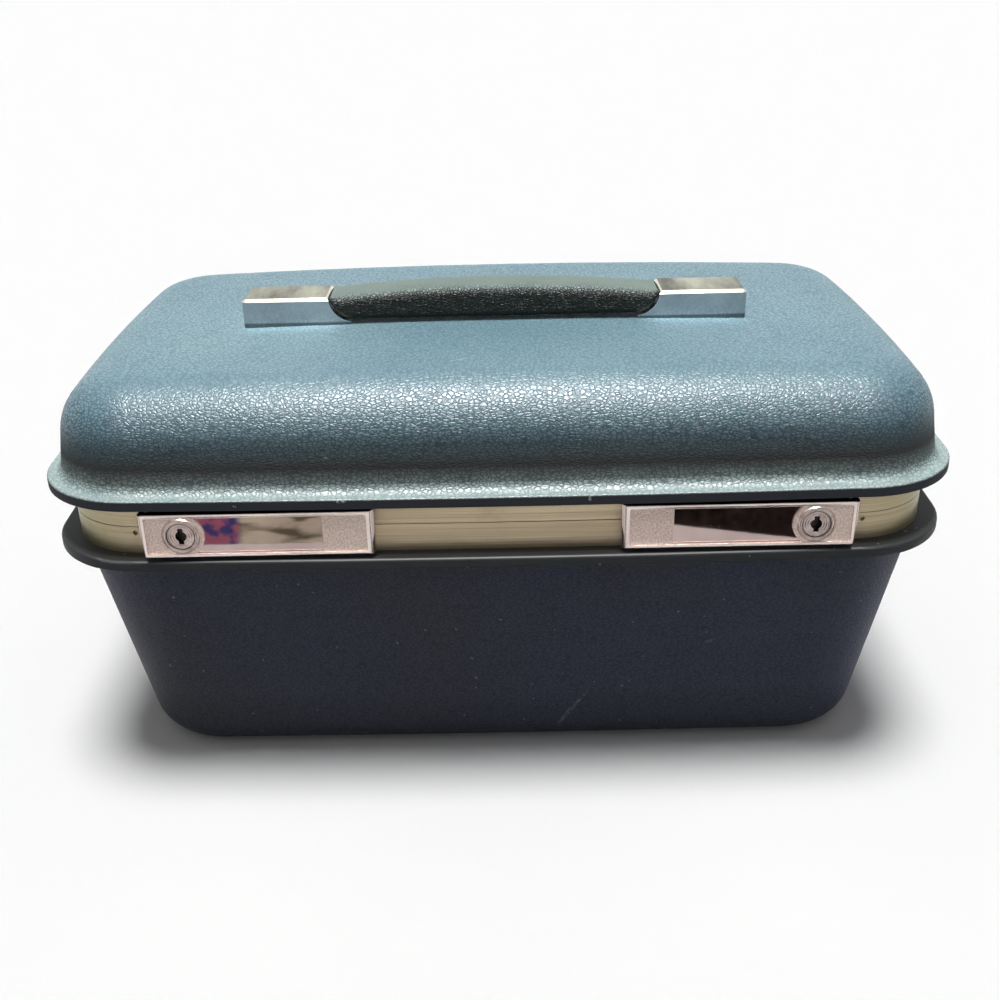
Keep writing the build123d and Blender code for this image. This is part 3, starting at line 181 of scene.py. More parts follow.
class Look:
    """A procedural material, built up node by node round one Principled shader."""

    def __init__(self, name, **values):
        self.material = bpy.data.materials.new(name)
        self.material.use_nodes = True
        self.tree = self.material.node_tree
        self.shader = self.tree.nodes["Principled BSDF"]
        for key, value in values.items():
            self.shader.inputs[key.replace("_", " ")].default_value = value
        coordinates = self.tree.nodes.new("ShaderNodeTexCoord")
        self.place = coordinates.outputs["Object"]
        self.facing = coordinates.outputs["Normal"]

    def node(self, kind, inputs=(), **settings):
        """A new node with its settings, and with numbers or links on the named inputs."""
        node = self.tree.nodes.new("ShaderNode" + kind)
        for key, value in settings.items():
            setattr(node, key, value)
        for key, value in dict(inputs).items():
            self.put(socket(node.inputs, key) if isinstance(key, str) else node.inputs[key], value)
        return node

    def put(self, target, value):
        """Links an output to a socket, or sets the socket to a number or colour."""
        if isinstance(value, bpy.types.NodeSocket):
            self.tree.links.new(value, target)
        else:
            target.default_value = value

    def shade(self, name, value):
        """Feeds one input of the shader."""
        self.put(self.shader.inputs[name], value)

    def math(self, operation, a, b=0.0):
        """One sum on one or two values."""
        return self.node("Math", {0: a, 1: b}, operation=operation).outputs[0]

    def stretched(self, x, y, z, turn=0.0):
        """The place on the object with each axis scaled, turned about Z."""
        inputs = {"Vector": self.place, "Rotation": (0.0, 0.0, turn), "Scale": (x, y, z)}
        return self.node("Mapping", inputs).outputs[0]

    def axis(self, name, source=None):
        """One coordinate of the place on the object, or of another vector."""
        split = self.node("SeparateXYZ", {"Vector": self.place if source is None else source})
        return split.outputs[name]

    def noise(self, scale, detail=3.0, rough=0.5, place=None):
        """Soft noise, from 0 to 1 and mostly near the middle."""
        inputs = {"Vector": place or self.place, "Scale": scale, "Detail": detail, "Roughness": rough}
        return self.node("TexNoise", inputs).outputs[0]

    def cells(self, scale, place=None, feature="DISTANCE_TO_EDGE", output="Distance"):
        """Cells: how far in from their edges, unless something else is asked."""
        inputs = {"Vector": place or self.place, "Scale": scale}
        return self.node("TexVoronoi", inputs, feature=feature).outputs[output]

    def warped(self, place, scale, amount):
        """A place that is shifted about by noise."""
        field = self.node("TexNoise", {"Vector": place, "Scale": scale, "Detail": 2.0}).outputs["Color"]
        shift = self.node("VectorMath", {0: field, 1: (0.5, 0.5, 0.5)}, operation="SUBTRACT").outputs[0]
        sized = self.node("VectorMath", {0: shift, "Scale": amount}, operation="SCALE").outputs[0]
        return self.node("VectorMath", {0: place, 1: sized}, operation="ADD").outputs[0]

    def between(self, value, low, high, new_low=0.0, new_high=1.0):
        """Value read from low to high as new_low to new_high, and held there."""
        inputs = {"Value": value, "From Min": low, "From Max": high, "To Min": new_low, "To Max": new_high}
        return self.node("MapRange", inputs, clamp=True).outputs[0]

    def band(self, value, low, high, soft):
        """1 where value is from low to high, with soft edges."""
        rise = self.between(value, low - soft, low + soft)
        fall = self.between(value, high - soft, high + soft, 1.0, 0.0)
        return self.math("MULTIPLY", rise, fall)

    def mix(self, factor, a, b, blend="MIX"):
        """The second colour over the first, by that factor."""
        node = self.tree.nodes.new("ShaderNodeMix")
        node.data_type = "RGBA"
        node.blend_type = blend
        for key, value in {"Factor": factor, "A": a, "B": b}.items():
            self.put(socket(node.inputs, key), value)
        return socket(node.outputs, "Result")

    def spot(self, centre, radii, turn=(0.0, 0.0, 0.0)):
        """A soft spot, 1 at its centre and 0 from its radii outwards."""
        inputs = {"Vector": self.place, "Location": centre, "Rotation": turn, "Scale": radii}
        place = self.node("Mapping", inputs, vector_type="TEXTURE").outputs[0]
        return self.node("TexGradient", {"Vector": place}, gradient_type="SPHERICAL").outputs["Fac"]

    def bump(self, height, distance, strength=1.0):
        """Adds relief on top of what the shader has already."""
        inputs = {"Height": height, "Distance": distance, "Strength": strength}
        links = self.shader.inputs["Normal"].links
        if links:
            inputs["Normal"] = links[0].from_socket
        self.shade("Normal", self.node("Bump", inputs).outputs[0])


def pebbles(look, cell, stretch=1.7):
    """Leather grain: domed cells about that high with creases between them, longer sideways."""
    place = look.stretched(1.0 / stretch, 1.0 / stretch, 1.0)
    place = look.warped(place, 0.4 / cell, 1.1 * cell)
    large = look.between(look.cells(1.0 / cell, place), 0.0, 0.22)
    small = look.between(look.cells(2.3 / cell, place), 0.0, 0.30)
    return look.math("ADD", look.math("MULTIPLY", large, 0.8), look.math("MULTIPLY", small, 0.2))


def specks(look, spacing, size, share):
    """Small spots of that size, in that share of places about spacing apart."""
    place = look.warped(look.place, 2.0 / spacing, 0.5 * spacing)
    distance = look.cells(1.0 / spacing, place, feature="F1")
    chance = look.cells(1.0 / spacing, place, feature="F1", output="Color")
    chosen = look.math("LESS_THAN", look.axis("X", chance), share)
    return look.math("MULTIPLY", look.math("LESS_THAN", distance, size / spacing), chosen)


def streak(look, centre, radii, turn, grain):
    """A broken scratch along the longest of its radii."""
    patch = look.between(look.spot(centre, radii, turn), 0.0, 0.35)
    broken = look.between(look.noise(grain, 3.0, 0.6), 0.46, 0.56)
    return look.math("MULTIPLY", patch, broken)


def lid_plastic():
    """Slate blue moulding with a pebbled grain, grey-green on the top of its rim from wear and painted
    light, with painted shade low on its walls and in its creases.
    """
    look = Look("lid_plastic", Specular_IOR_Level=0.19)
    grain = pebbles(look, LID_GRAIN)
    height = look.axis("Z")
    up = look.axis("Z", look.facing)
    # Painted shade: the sideways walls darken towards the rim, near black at the wall's foot
    side = look.between(up, 0.15, 0.80, 1.0, 0.0)
    shade = look.math("MULTIPLY", side, look.between(height, *PAINTED_WALL_SHADE, 1.0, 0.0))
    rim = look.between(height, *RIM_EDGE, 1.0, 0.0)
    colour = look.mix(shade, lid_blue(look), rgb(8, 16, 18))
    # Pale rim: partly wear, partly painted light where the rim and flare face upwards
    colour = look.mix(rim_wear_and_light(look, height, up), colour, rgb(192, 210, 204))
    # Painted shade in the grain's creases, stronger on the walls than on top
    crease_shade = look.between(grain, 0.2, 0.9, 1.0, 0.0)
    crease_shade = look.math("MULTIPLY", crease_shade, look.between(up, 0.6, 0.95, 0.85, 0.45))
    colour = look.mix(crease_shade, colour, rgb(124, 140, 149), "MULTIPLY")
    colour = look.mix(rim, colour, rgb(24, 29, 38))
    look.shade("Base Color", look.mix(lid_marks(look), colour, rgb(205, 215, 215)))
    roughness = look.between(grain, 0.2, 1.0, 0.48, 0.30)
    look.shade("Roughness", look.math("MAXIMUM", roughness, look.math("MULTIPLY", shade, 0.8)))
    look.bump(look.noise(FINE_GRAIN, 2.0), 0.00002, 0.7)
    look.bump(look.math("MULTIPLY", grain, look.between(rim, 0.0, 1.0, 1.0, 0.1)), 0.00013, 0.9)
    return look.material


def lid_blue(look):
    """The lid's own colour: unevenly faded, with a fine pale dust."""
    fade = look.between(look.noise(9.0, 5.0, 0.65), 0.35, 0.65)
    dust = look.between(look.noise(DUST, 2.0, 0.6), 0.48, 0.66, 0.0, 0.55)
    return look.mix(dust, look.mix(fade, rgb(124, 164, 180), rgb(144, 181, 192)), rgb(176, 202, 208))


def rim_wear_and_light(look, height, up):
    """Where the flat top of the lid's rim and its flare are pale: partly wear, partly painted light on the
    faces that turn upwards.
    """
    level = look.between(height, *WORN_AND_LIT_RIM, 1.0, 0.0)
    level = look.math("MULTIPLY", level, look.between(up, 0.0, 0.5, 0.6, 1.0))
    return look.math("MULTIPLY", level, look.between(look.noise(90.0, 5.0, 0.65), 0.3, 0.7, 0.65, 1.0))


def lid_marks(look):
    """Pale nicks on the lid: one scratch on top, a few chips along the rim, and scattered specks."""
    marks = look.math("MULTIPLY", specks(look, 0.008, 0.0004, 0.15), 0.5)
    for nick in LID_NICKS:
        marks = look.math("MAXIMUM", marks, streak(look, *nick, NICK_GRAIN))
    return marks


def base_plastic():
    """Very dark navy moulding: a faint grain on the walls and a smooth satin rim, with painted shade
    towards the foot and in the grain's creases.
    """
    look = Look("base_plastic", Roughness=0.52, Specular_IOR_Level=0.16)
    grain = pebbles(look, BASE_GRAIN)
    height = look.axis("Z")
    walls = look.between(height, *BASE_WALL_TOP, 1.0, 0.0)
    cloud = look.between(look.noise(9.0, 3.0), 0.35, 0.68)
    colour = look.mix(cloud, rgb(96, 98, 106), rgb(98, 103, 128))
    # Painted shade: the walls darken towards the foot
    foot_shade = look.between(height, *BASE_FOOT_SHADE, 0.45, 0.0)
    colour = look.mix(foot_shade, colour, rgb(34, 40, 44))
    colour = look.mix(walls, rgb(58, 61, 64), colour)
    # Painted shade in the grain's creases, on the walls only
    crease_shade = look.between(grain, 0.2, 0.9, 0.35, 0.0)
    colour = look.mix(look.math("MULTIPLY", crease_shade, walls), colour, rgb(34, 37, 44))
    colour = look.mix(base_marks(look), colour, rgb(176, 180, 186))
    look.shade("Base Color", colour)
    look.bump(look.noise(FINE_GRAIN, 2.0), 0.00004, 0.6)
    look.bump(look.math("MULTIPLY", grain, walls), 0.00020, 1.0)
    return look.material


def base_marks(look):
    """Specks on the base, a slanting scuff low on its front and a short scratch."""
    marks = look.math("MULTIPLY", specks(look, 0.006, 0.0004, 0.55), 0.7)
    scuff = streak(look, *BASE_SCUFF, SCUFF_GRAIN)
    scratch = streak(look, *BASE_SCRATCH, SCUFF_GRAIN)
    faint = look.math("MULTIPLY", look.math("MAXIMUM", scuff, scratch), 0.35)
    return look.math("MAXIMUM", marks, faint)


def frame_metal():
    """Champagne anodised metal, brushed along the band, greener towards the corners."""
    look = Look("frame_metal", Metallic=1.0, Roughness=0.36)
    fine = look.noise(1.0, 4.0, 0.65, look.stretched(16.0, 16.0, 3600.0))
    broad = look.noise(1.0, 3.0, 0.5, look.stretched(5.0, 5.0, 800.0))
    lines = look.math("ADD", look.math("MULTIPLY", fine, 0.65), look.math("MULTIPLY", broad, 0.35))
    colour = look.mix(look.between(lines, 0.36, 0.62), rgb(146, 130, 107), rgb(176, 162, 137))
    corner = look.between(look.math("ABSOLUTE", look.axis("X")), *BAND_CORNER)
    colour = look.mix(look.math("MULTIPLY", corner, 0.55), colour, rgb(138, 136, 104))
    stain = look.between(look.noise(70.0, 5.0, 0.7), 0.55, 0.75, 0.0, 0.4)
    colour = look.mix(stain, colour, rgb(128, 116, 92))
    look.shade("Base Color", colour)
    look.shade("Roughness", look.between(lines, 0.3, 0.7, 0.46, 0.30))
    look.bump(lines, 0.00004, 0.8)
    return look.material


def latch_metal():
    """Plated latch levers: bright edges, a polished channel, and a sunk field with a satin stipple."""
    look = Look("latch_metal", Metallic=1.0)
    depth = look.axis("Y")
    satin = look.band(depth, FIELD_Y - FIELD_REACH, FIELD_Y + FIELD_REACH, FIELD_SOFT)
    channel = look.between(depth, *CHANNEL_EDGE)
    stipple = look.between(look.noise(STIPPLE, 3.0, 0.6), 0.36, 0.64)
    smear = look.between(look.noise(45.0, 4.0, 0.6), 0.35, 0.7)
    colour = look.mix(smear, rgb(206, 192, 186), rgb(226, 214, 208))
    colour = look.mix(channel, colour, look.mix(smear, rgb(168, 150, 147), rgb(186, 168, 163)))
    colour = look.mix(satin, colour, look.mix(stipple, rgb(148, 132, 125), rgb(188, 172, 163)))
    pits = look.math("MULTIPLY", specks(look, 0.0028, 0.00012, 0.30), channel)
    look.shade("Base Color", look.mix(look.math("MULTIPLY", pits, 0.6), colour, rgb(235, 225, 220)))
    gloss = look.between(channel, 0.0, 1.0, 0.20, 0.035)
    look.shade("Roughness", look.math("MAXIMUM", gloss, look.math("MULTIPLY", satin, 0.40)))
    look.bump(look.math("MULTIPLY", stipple, satin), 0.00008, 0.9)
    look.bump(look.noise(70.0, 2.0), 0.00008, 0.12)
    return look.material


def cap_metal():
    """Plated handle caps: warm and a little dull on top, a painted highlight along the bevel, polished in
    front, with a painted contact shadow along the foot.
    """
    look = Look("cap_metal", Metallic=1.0)
    up = look.axis("Z", look.facing)
    flat = look.between(up, 0.88, 0.97)
    # Painted highlight: a bright band where the bevel faces halfway up
    bevel_highlight = look.between(up, 0.30, 0.55)
    smear = look.noise(1.0, 5.0, 0.6, look.stretched(60.0, 16.0, 60.0, 0.5))
    smear = look.between(smear, 0.38, 0.64)
    side = look.mix(smear, rgb(176, 180, 184), rgb(200, 203, 206))
    # Painted contact shadow where the cap meets the lid
    foot_shade = look.between(look.axis("Z"), *CAP_CONTACT_SHADOW, 0.75, 0.0)
    colour = look.mix(bevel_highlight, look.mix(foot_shade, side, rgb(52, 56, 56)), rgb(228, 222, 206))
    top = look.mix(smear, rgb(66, 64, 46), rgb(172, 172, 152))
    look.shade("Base Color", look.mix(flat, colour, top))
    look.shade("Roughness", look.between(flat, 0.0, 1.0, 0.10, 0.30))
    look.bump(look.noise(120.0, 3.0), 0.00005, 0.3)
    return look.material


def lock_metal():
    """Turned lock faces and their bezels: fine rings round the key slot, and painted shade in the slot
    itself.
    """
    look = Look("lock_metal", Metallic=1.0, Roughness=0.24)
    across = look.math("SUBTRACT", look.math("ABSOLUTE", look.axis("X")), LOCK_X)
    above = look.math("SUBTRACT", look.axis("Z"), LATCH_Z)
    square = look.math("ADD", look.math("POWER", across, 2.0), look.math("POWER", above, 2.0))
    rings = look.math("SINE", look.math("MULTIPLY", look.math("SQRT", square), LOCK_RINGS))
    mottle = look.between(look.noise(320.0, 4.0, 0.6), 0.35, 0.7)
    colour = look.mix(mottle, rgb(150, 134, 128), rgb(196, 182, 176))
    colour = look.mix(look.between(rings, 0.2, 1.0, 0.0, 0.35), colour, rgb(104, 92, 88))
    # Painted shade deep in the key slot
    slot = look.between(look.axis("Y"), *KEY_SLOT_SHADE)
    look.shade("Base Color", look.mix(slot, colour, rgb(46, 40, 38)))
    look.bump(rings, 0.00005, 0.6)
    return look.material


def steel():
    """Plated steel with a faint mottle."""
    look = Look("steel", Metallic=1.0, Roughness=0.32)
    mottle = look.between(look.noise(220.0, 4.0, 0.6), 0.35, 0.7)
    look.shade("Base Color", look.mix(mottle, rgb(160, 154, 146), rgb(194, 189, 182)))
    look.shade("Roughness", look.between(mottle, 0.0, 1.0, 0.38, 0.26))
    look.bump(look.noise(600.0, 2.0), 0.00002, 0.6)
    return look.material


def lining_cloth():
    """Quilted satin cloth in a muted blue."""
    sheen = {"Sheen_Weight": 0.3, "Sheen_Roughness": 0.4}
    look = Look("lining_cloth", Roughness=0.58, Specular_IOR_Level=0.35, **sheen)
    warp = look.math("SINE", look.math("MULTIPLY", look.axis("X"), WEAVE))
    fall = look.math("ADD", look.axis("Y"), look.axis("Z"))
    weave = look.math("MULTIPLY", warp, look.math("SINE", look.math("MULTIPLY", fall, WEAVE)))
    cloud = look.between(look.noise(30.0, 4.0), 0.3, 0.7)
    colour = look.mix(cloud, rgb(118, 140, 152), rgb(134, 156, 167))
    colour = look.mix(look.between(weave, -1.0, 1.0, 0.28, 0.0), colour, rgb(94, 114, 128))
    slubs = look.between(look.noise(1.0, 4.0, 0.6, look.stretched(900.0, 60.0, 60.0)), 0.58, 0.7, 0.0, 0.4)
    look.shade("Base Color", look.mix(slubs, colour, rgb(156, 176, 186)))
    look.bump(weave, 0.00008, 0.6)
    return look.material


def pale_plastic(name, dark, light, roughness):
    """Moulded plastic with a soft mottle and a very fine grain."""
    look = Look(name, Roughness=roughness, Specular_IOR_Level=0.45)
    cloud = look.between(look.noise(18.0, 4.0, 0.6), 0.3, 0.7)
    look.shade("Base Color", look.mix(cloud, dark, light))
    haze = look.between(look.noise(240.0, 3.0), 0.3, 0.7, roughness - 0.06, roughness + 0.08)
    look.shade("Roughness", haze)
    look.bump(look.cells(1400.0), 0.00006, 0.5)
    return look.material


def mirror_glass():
    """Silvered glass with a faint haze."""
    look = Look("mirror_glass", Metallic=1.0)
    haze = look.between(look.noise(25.0, 4.0, 0.6), 0.45, 0.75)
    look.shade("Base Color", look.mix(haze, rgb(222, 227, 229), rgb(208, 214, 217)))
    look.shade("Roughness", look.between(haze, 0.0, 1.0, 0.02, 0.07))
    return look.material


def grip_vinyl():
    """Dark green-black vinyl with a fine leather grain, painted shade in its creases and painted light
    making its top sage grey.
    """
    look = Look("grip_vinyl", Roughness=0.46, Specular_IOR_Level=0.13)
    grain = pebbles(look, GRIP_GRAIN, 1.2)
    up = look.axis("Z", look.facing)
    # Painted light: the faces that turn upwards go sage grey, with a ragged, patchy edge
    ragged = look.math("ADD", up, look.math("MULTIPLY", look.math("SUBTRACT", grain, 0.6), 0.45))
    patchy = look.between(look.noise(60.0, 4.0), 0.2, 0.7, 0.80, 1.0)
    painted_top_light = look.math("MULTIPLY", look.between(ragged, 0.50, 0.80), patchy)
    # Painted shade in the grain's creases
    colour = look.mix(look.between(grain, 0.1, 0.7, 0.5, 0.0), rgb(36, 44, 41), rgb(20, 26, 25))
    colour = look.mix(painted_top_light, colour, rgb(138, 157, 149))
    look.shade("Base Color", colour)
    look.bump(grain, 0.00020, 1.0)
    return look.material


def paint_nodes(frame, looks):
    """Gives every node of the model the look of its material slot, or a look of its own."""
    slot_of = {part["node"]: part["material_slot"] for part in frame["record"]["subparts"]}
    for name, item in frame["nodes"].items():
        own = [look for ending, look in OWN_LOOKS.items() if name.endswith(ending)]
        item.data.materials.clear()
        item.data.materials.append(looks[own[0] if own else slot_of[name]])


def new_piece(name, sheet, material, body, slot, *nodes):
    """A smooth mesh piece that rides on a body and stands for some nodes."""
    mesh = bpy.data.meshes.new(name)
    sheet.to_mesh(mesh)
    sheet.free()
    for face in mesh.polygons:
        face.use_smooth = True
    mesh.materials.append(material)
    piece = bpy.data.objects.new(name, mesh)
    bpy.context.scene.collection.objects.link(piece)
    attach(piece, body)
    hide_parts(*nodes)
    return piece


def thicken(piece, thickness):
    """Gives a skin its thickness, behind its faces."""
    solid = piece.modifiers.new("thickness", "SOLIDIFY")
    solid.thickness = thickness
    solid.offset = -1.0


def join_rings(sheet, rings, stays_open=lambda row, index: False):
    """Faces between neighbouring rings of points, apart from those that stay open."""
    for row, (ring, following) in enumerate(zip(rings, rings[1:])):
        for index, vert in enumerate(ring):
            after = (index + 1) % len(ring)
            if not stays_open(row, index):
                sheet.faces.new((vert, following[index], following[after], ring[after]))


def arc(y, z, radius, start, count):
    """Points along a quarter turn from that angle in degrees, as (y, z)."""
    turns = [math.radians(start + 90 * step / count) for step in range(count + 1)]
    return [(y + radius * math.cos(turn), z + radius * math.sin(turn)) for turn in turns]


def grip_section(x):
    """Lowest and highest point of the grip at x."""
    top = GRIP_TOP_Z + GRIP_BOW * (1 - (x / (GRIP_HALF_FLAT + GRIP_END_RADIUS)) ** 2)
    past = max(abs(x) - GRIP_HALF_FLAT, 0.0)
    return GRIP_TOP_Z - math.sqrt(max(GRIP_END_RADIUS ** 2 - past ** 2, 0.0)), top


def grip_ring(x):
    """Points round the grip at x, as (y, z), from the middle of its underside."""
    low, high = grip_section(x)
    side = GRIP_HALF_DEPTH
    top_round = min(GRIP_ROUND, TOP_ROUND_SHARE * (high - low))
    low_round = min(GRIP_UNDER_ROUND, UNDER_ROUND_SHARE * (high - low))
    points = [(0.0, low), (GRIP_SLOT_Y, low)]
    points += arc(side - low_round, low + low_round, low_round, -90, UNDER_ROUND_STEPS)
    points.append((side, (low + low_round + high - top_round) / 2))
    points += arc(side - top_round, high - top_round, top_round, 0, TOP_ROUND_STEPS)
    points += [(side * share, high + GRIP_CROWN * (1 - share ** 2)) for share in TOP_SHARES]
    return points + [(-y, z) for y, z in points[-2:0:-1]]


def add_grip(material):
    """The padded cover: a skin with swept ends, open below at both ends for the links."""
    reach = GRIP_HALF_FLAT + GRIP_END_RADIUS - GRIP_END_CUT
    steps = range(-GRIP_STATIONS, GRIP_STATIONS + 1)
    stations = [reach * math.sin(math.radians(90 * step / GRIP_STATIONS)) for step in steps]
    sheet = bmesh.new()
    rings = [[sheet.verts.new((x, GRIP_Y + y, z)) for y, z in grip_ring(x)] for x in stations]
    slot = (0, len(rings[0]) - 1)
    join_rings(sheet, rings, lambda row, index: index in slot and abs(stations[row]) > GRIP_SLOT_X)
    bmesh.ops.recalc_face_normals(sheet, faces=sheet.faces)
    piece = new_piece("grip_cover", sheet, material, "grip", "grip_vinyl", "handle_grip")
    thicken(piece, GRIP_SKIN)
    rounding = piece.modifiers.new("rounding", "SUBSURF")
    rounding.levels = rounding.render_levels = 1


def rim_point(along, runs, half_x, half_y, corner, bow):
    """The point that far along half the plan: an end, a corner, a long side and a corner."""
    straight_x, straight_y = half_x - corner, half_y - corner
    if along < runs[0]:
        y = along - straight_y
        return half_x + bow * (1 - (y / half_y) ** 2), y
    if runs[0] + runs[1] <= along < sum(runs[:3]):
        x = straight_x - (along - runs[0] - runs[1])
        return x, half_y + bow * (1 - (x / half_x) ** 2)
    if along < runs[0] + runs[1]:
        side, turn = 1, (along - runs[0]) / corner
    else:
        side, turn = -1, math.pi / 2 + (along - sum(runs[:3])) / corner
    x, y = side * straight_x + corner * math.cos(turn), straight_y + corner * math.sin(turn)
    x += side * bow * (1 - (y / half_y) ** 2)
    if side * x < half_x:
        y += bow * (1 - (x / (half_x + bow)) ** 2)
    return x, y


def outline(inset, corner, bow):
    """Points round the case's plan, that far inside its rim, with its sides bowed outwards."""
    half_x, half_y = HALF_X - inset - bow, HALF_Y - inset - bow
    quarter = math.pi * corner / 2
    runs = (2 * (half_y - corner), quarter, 2 * (half_x - corner), quarter)
    points = []
    for step in range(ROUND_COUNT):
        half_turn, along = divmod(step / ROUND_COUNT * 2 * sum(runs), sum(runs))
        sign = 1 - 2 * half_turn
        x, y = rim_point(along, runs, half_x, half_y, corner, bow)
        points.append((sign * x, sign * y))
    return points


def base_wall(z):
    """How far inside the rim the tub's lining stands at that height, and its bow."""
    share = z / BASE_RIM_LOW
    inset = BASE_INSET_FOOT + (BASE_INSET_TOP - BASE_INSET_FOOT) * share + SHELL_WALL + LINING_GAP
    return inset, BASE_FOOT_BOW + (FRONT_BOW - BASE_FOOT_BOW) * share


def lid_wall(z):
    """The same for the lid's lining."""
    return LID_INSET + (z - LID_RIM_LOW) * LID_DRAFT + LID_WALL + LINING_GAP, FRONT_BOW


# One ring of a lining: where it lies, how steep the lining is there and how far it has come
Ring = namedtuple("Ring", "inset corner bow height turn travel")


def lining_rings(flat_z, edge_z, radius, corner, wall):
    """Rings from the flat part, round its bend and along the wall to the edge."""
    facing = 1 if edge_z > flat_z else -1
    bend_z = flat_z + facing * radius
    inset, bow = wall(bend_z)
    rings = []
    for step in range(BEND_ROWS + 1):
        turn = math.radians(90 * step / BEND_ROWS)
        back = radius * (1 - math.sin(turn))
        height = flat_z + facing * radius * (1 - math.cos(turn))
        rings.append(Ring(inset + back, corner - back, bow, height, turn, radius * turn))
    for step in range(1, WALL_ROWS + 1):
        height = bend_z + (edge_z - bend_z) * step / WALL_ROWS
        inset, bow = wall(height)
        travel = radius * math.pi / 2 + abs(height - bend_z)
        rings.append(Ring(inset, corner, bow, height, math.pi / 2, travel))
    return rings


def quilt(u, v):
    """Height of the padding between slanting rows of stitches, from 0 to 1."""
    first = abs(math.sin(math.pi * (u + v) / QUILT_PITCH))
    second = abs(math.sin(math.pi * (u - v) / QUILT_PITCH))
    return min(first, second) ** 0.5


def flat_rows(ring, facing, puff):
    """Rows of points on the flat part, from near its middle out towards that ring."""
    edge = outline(ring.inset, ring.corner, ring.bow)
    rows = []
    for step in range(1, FLAT_ROWS):
        share = step / FLAT_ROWS
        lift = facing * puff * min(1.0, (1 - share) * FLAT_FADE_SLOPE)
        row = [(x * share, y * share) for x, y in edge]
        rows.append([(x, y, ring.height + lift * quilt(x, y)) for x, y in row])
    return rows


def bent_rows(rings, facing, puff):
    """Rows of points round the bend and along the wall, with whole quilts all the way round."""
    flat, last = rings[0], rings[-1].travel
    around = 4 * (HALF_X + HALF_Y - 2 * flat.inset - 2 * flat.corner) + 2 * math.pi * flat.corner
    around = QUILT_PITCH * round(around / QUILT_PITCH)
    rows = []
    for ring in rings:
        fade = min(1.0, ring.travel / EDGE_FADE, (last - ring.travel) / EDGE_FADE)
        row = []
        for step, (x, y) in enumerate(outline(ring.inset, ring.corner, ring.bow)):
            lift = puff * fade * quilt(around * step / ROUND_COUNT, ring.travel)
            kept = 1 - lift * math.sin(ring.turn) / math.hypot(x, y)
            row.append((x * kept, y * kept, ring.height + facing * lift * math.cos(ring.turn)))
        rows.append(row)
    return rows


def add_lining(name, rings, puff, material, body, node):
    """A quilted skin inside a shell, facing away from it."""
    facing = 1 if rings[-1].height > rings[0].height else -1
    sheet = bmesh.new()
    grid = flat_rows(rings[0], facing, puff) + bent_rows(rings, facing, puff)
    rows = [[sheet.verts.new(point) for point in row] for row in grid]
    join_rings(sheet, rows)
    middle = sheet.faces.new(rows[0])
    bmesh.ops.recalc_face_normals(sheet, faces=sheet.faces)
    sheet.normal_update()
    if middle.normal.z * facing < 0:
        bmesh.ops.reverse_faces(sheet, faces=sheet.faces)
    piece = new_piece(name, sheet, material, body, "lining_cloth", node)
    thicken(piece, LINING_WALL)


def add_linings(material):
    """The quilted linings of the tub and the lid."""
    rings = lining_rings(BASE_FLOOR, LINING_TOP, BASE_LINING_ROUND, BASE_LINING_CORNER, base_wall)
    add_lining("base_quilt", rings, BASE_PUFF, material, "base", "base_lining")
    rings = lining_rings(LID_CEILING, LID_LINING_FOOT, LID_LINING_ROUND, LID_LINING_CORNER, lid_wall)
    add_lining("lid_quilt", rings, LID_PUFF, material, "lid", "lid_lining")


def add_camera():
    """The camera at the photograph's place and angle."""
    pitch, yaw, roll = (math.radians(angle) for angle in (CAMERA_PITCH, CAMERA_YAW, CAMERA_ROLL))
    level = math.cos(pitch)
    forward = Vector((math.sin(yaw) * level, math.cos(yaw) * level, -math.sin(pitch)))
    right = forward.cross(Vector((0, 0, 1))).normalized()
    up = right.cross(forward)
    side = right * math.cos(roll) + up * math.sin(roll)
    top = up * math.cos(roll) - right * math.sin(roll)
    data = bpy.data.cameras.new("camera")
    data.lens = CAMERA_LENS
    data.shift_x, data.shift_y = CAMERA_SHIFT
    data.clip_start = CAMERA_NEAR
    camera = bpy.data.objects.new("camera", data)
    turned = Matrix((side, top, -forward)).transposed().to_4x4()
    camera.matrix_world = Matrix.Translation(CAMERA_PLACE) @ turned
    bpy.context.scene.collection.objects.link(camera)
    bpy.context.scene.camera = camera


def add_lamp(name, strength, spread, tilt):
    """An even lamp far away, tilted by that angle from straight above towards the front."""
    data = bpy.data.lights.new(name, "SUN")
    data.energy = strength
    data.angle = math.radians(spread)
    lamp = bpy.data.objects.new(name, data)
    lamp.rotation_euler = (math.radians(tilt), 0.0, 0.0)
    bpy.context.scene.collection.objects.link(lamp)
    return lamp


def seen_directly(tree):
    """1 for rays that show the surroundings: from the camera, in metal and through glass."""
    path = tree.nodes.new("ShaderNodeLightPath")
    seen = path.outputs["Is Camera Ray"]
    for name in ("Is Glossy Ray", "Is Transmission Ray"):
        either = tree.nodes.new("ShaderNodeMath")
        either.operation = "MAXIMUM"
        tree.links.new(seen, either.inputs[0])
        tree.links.new(path.outputs[name], either.inputs[1])
        seen = either.outputs[0]
    return seen


def add_world():
    """A white surround that lights the object softly."""
    world = bpy.data.worlds.new("surround")
    world.use_nodes = True
    tree = world.node_tree
    ambient = tree.nodes["Background"]
    ambient.inputs["Color"].default_value = WHITE
    ambient.inputs["Strength"].default_value = AMBIENT
    white = tree.nodes.new("ShaderNodeBackground")
    white.inputs["Color"].default_value = WHITE
    blend = tree.nodes.new("ShaderNodeMixShader")
    tree.links.new(seen_directly(tree), blend.inputs[0])
    tree.links.new(ambient.outputs[0], blend.inputs[1])
    tree.links.new(white.outputs[0], blend.inputs[2])
    tree.links.new(blend.outputs[0], tree.nodes["World Output"].inputs["Surface"])
    bpy.context.scene.world = world


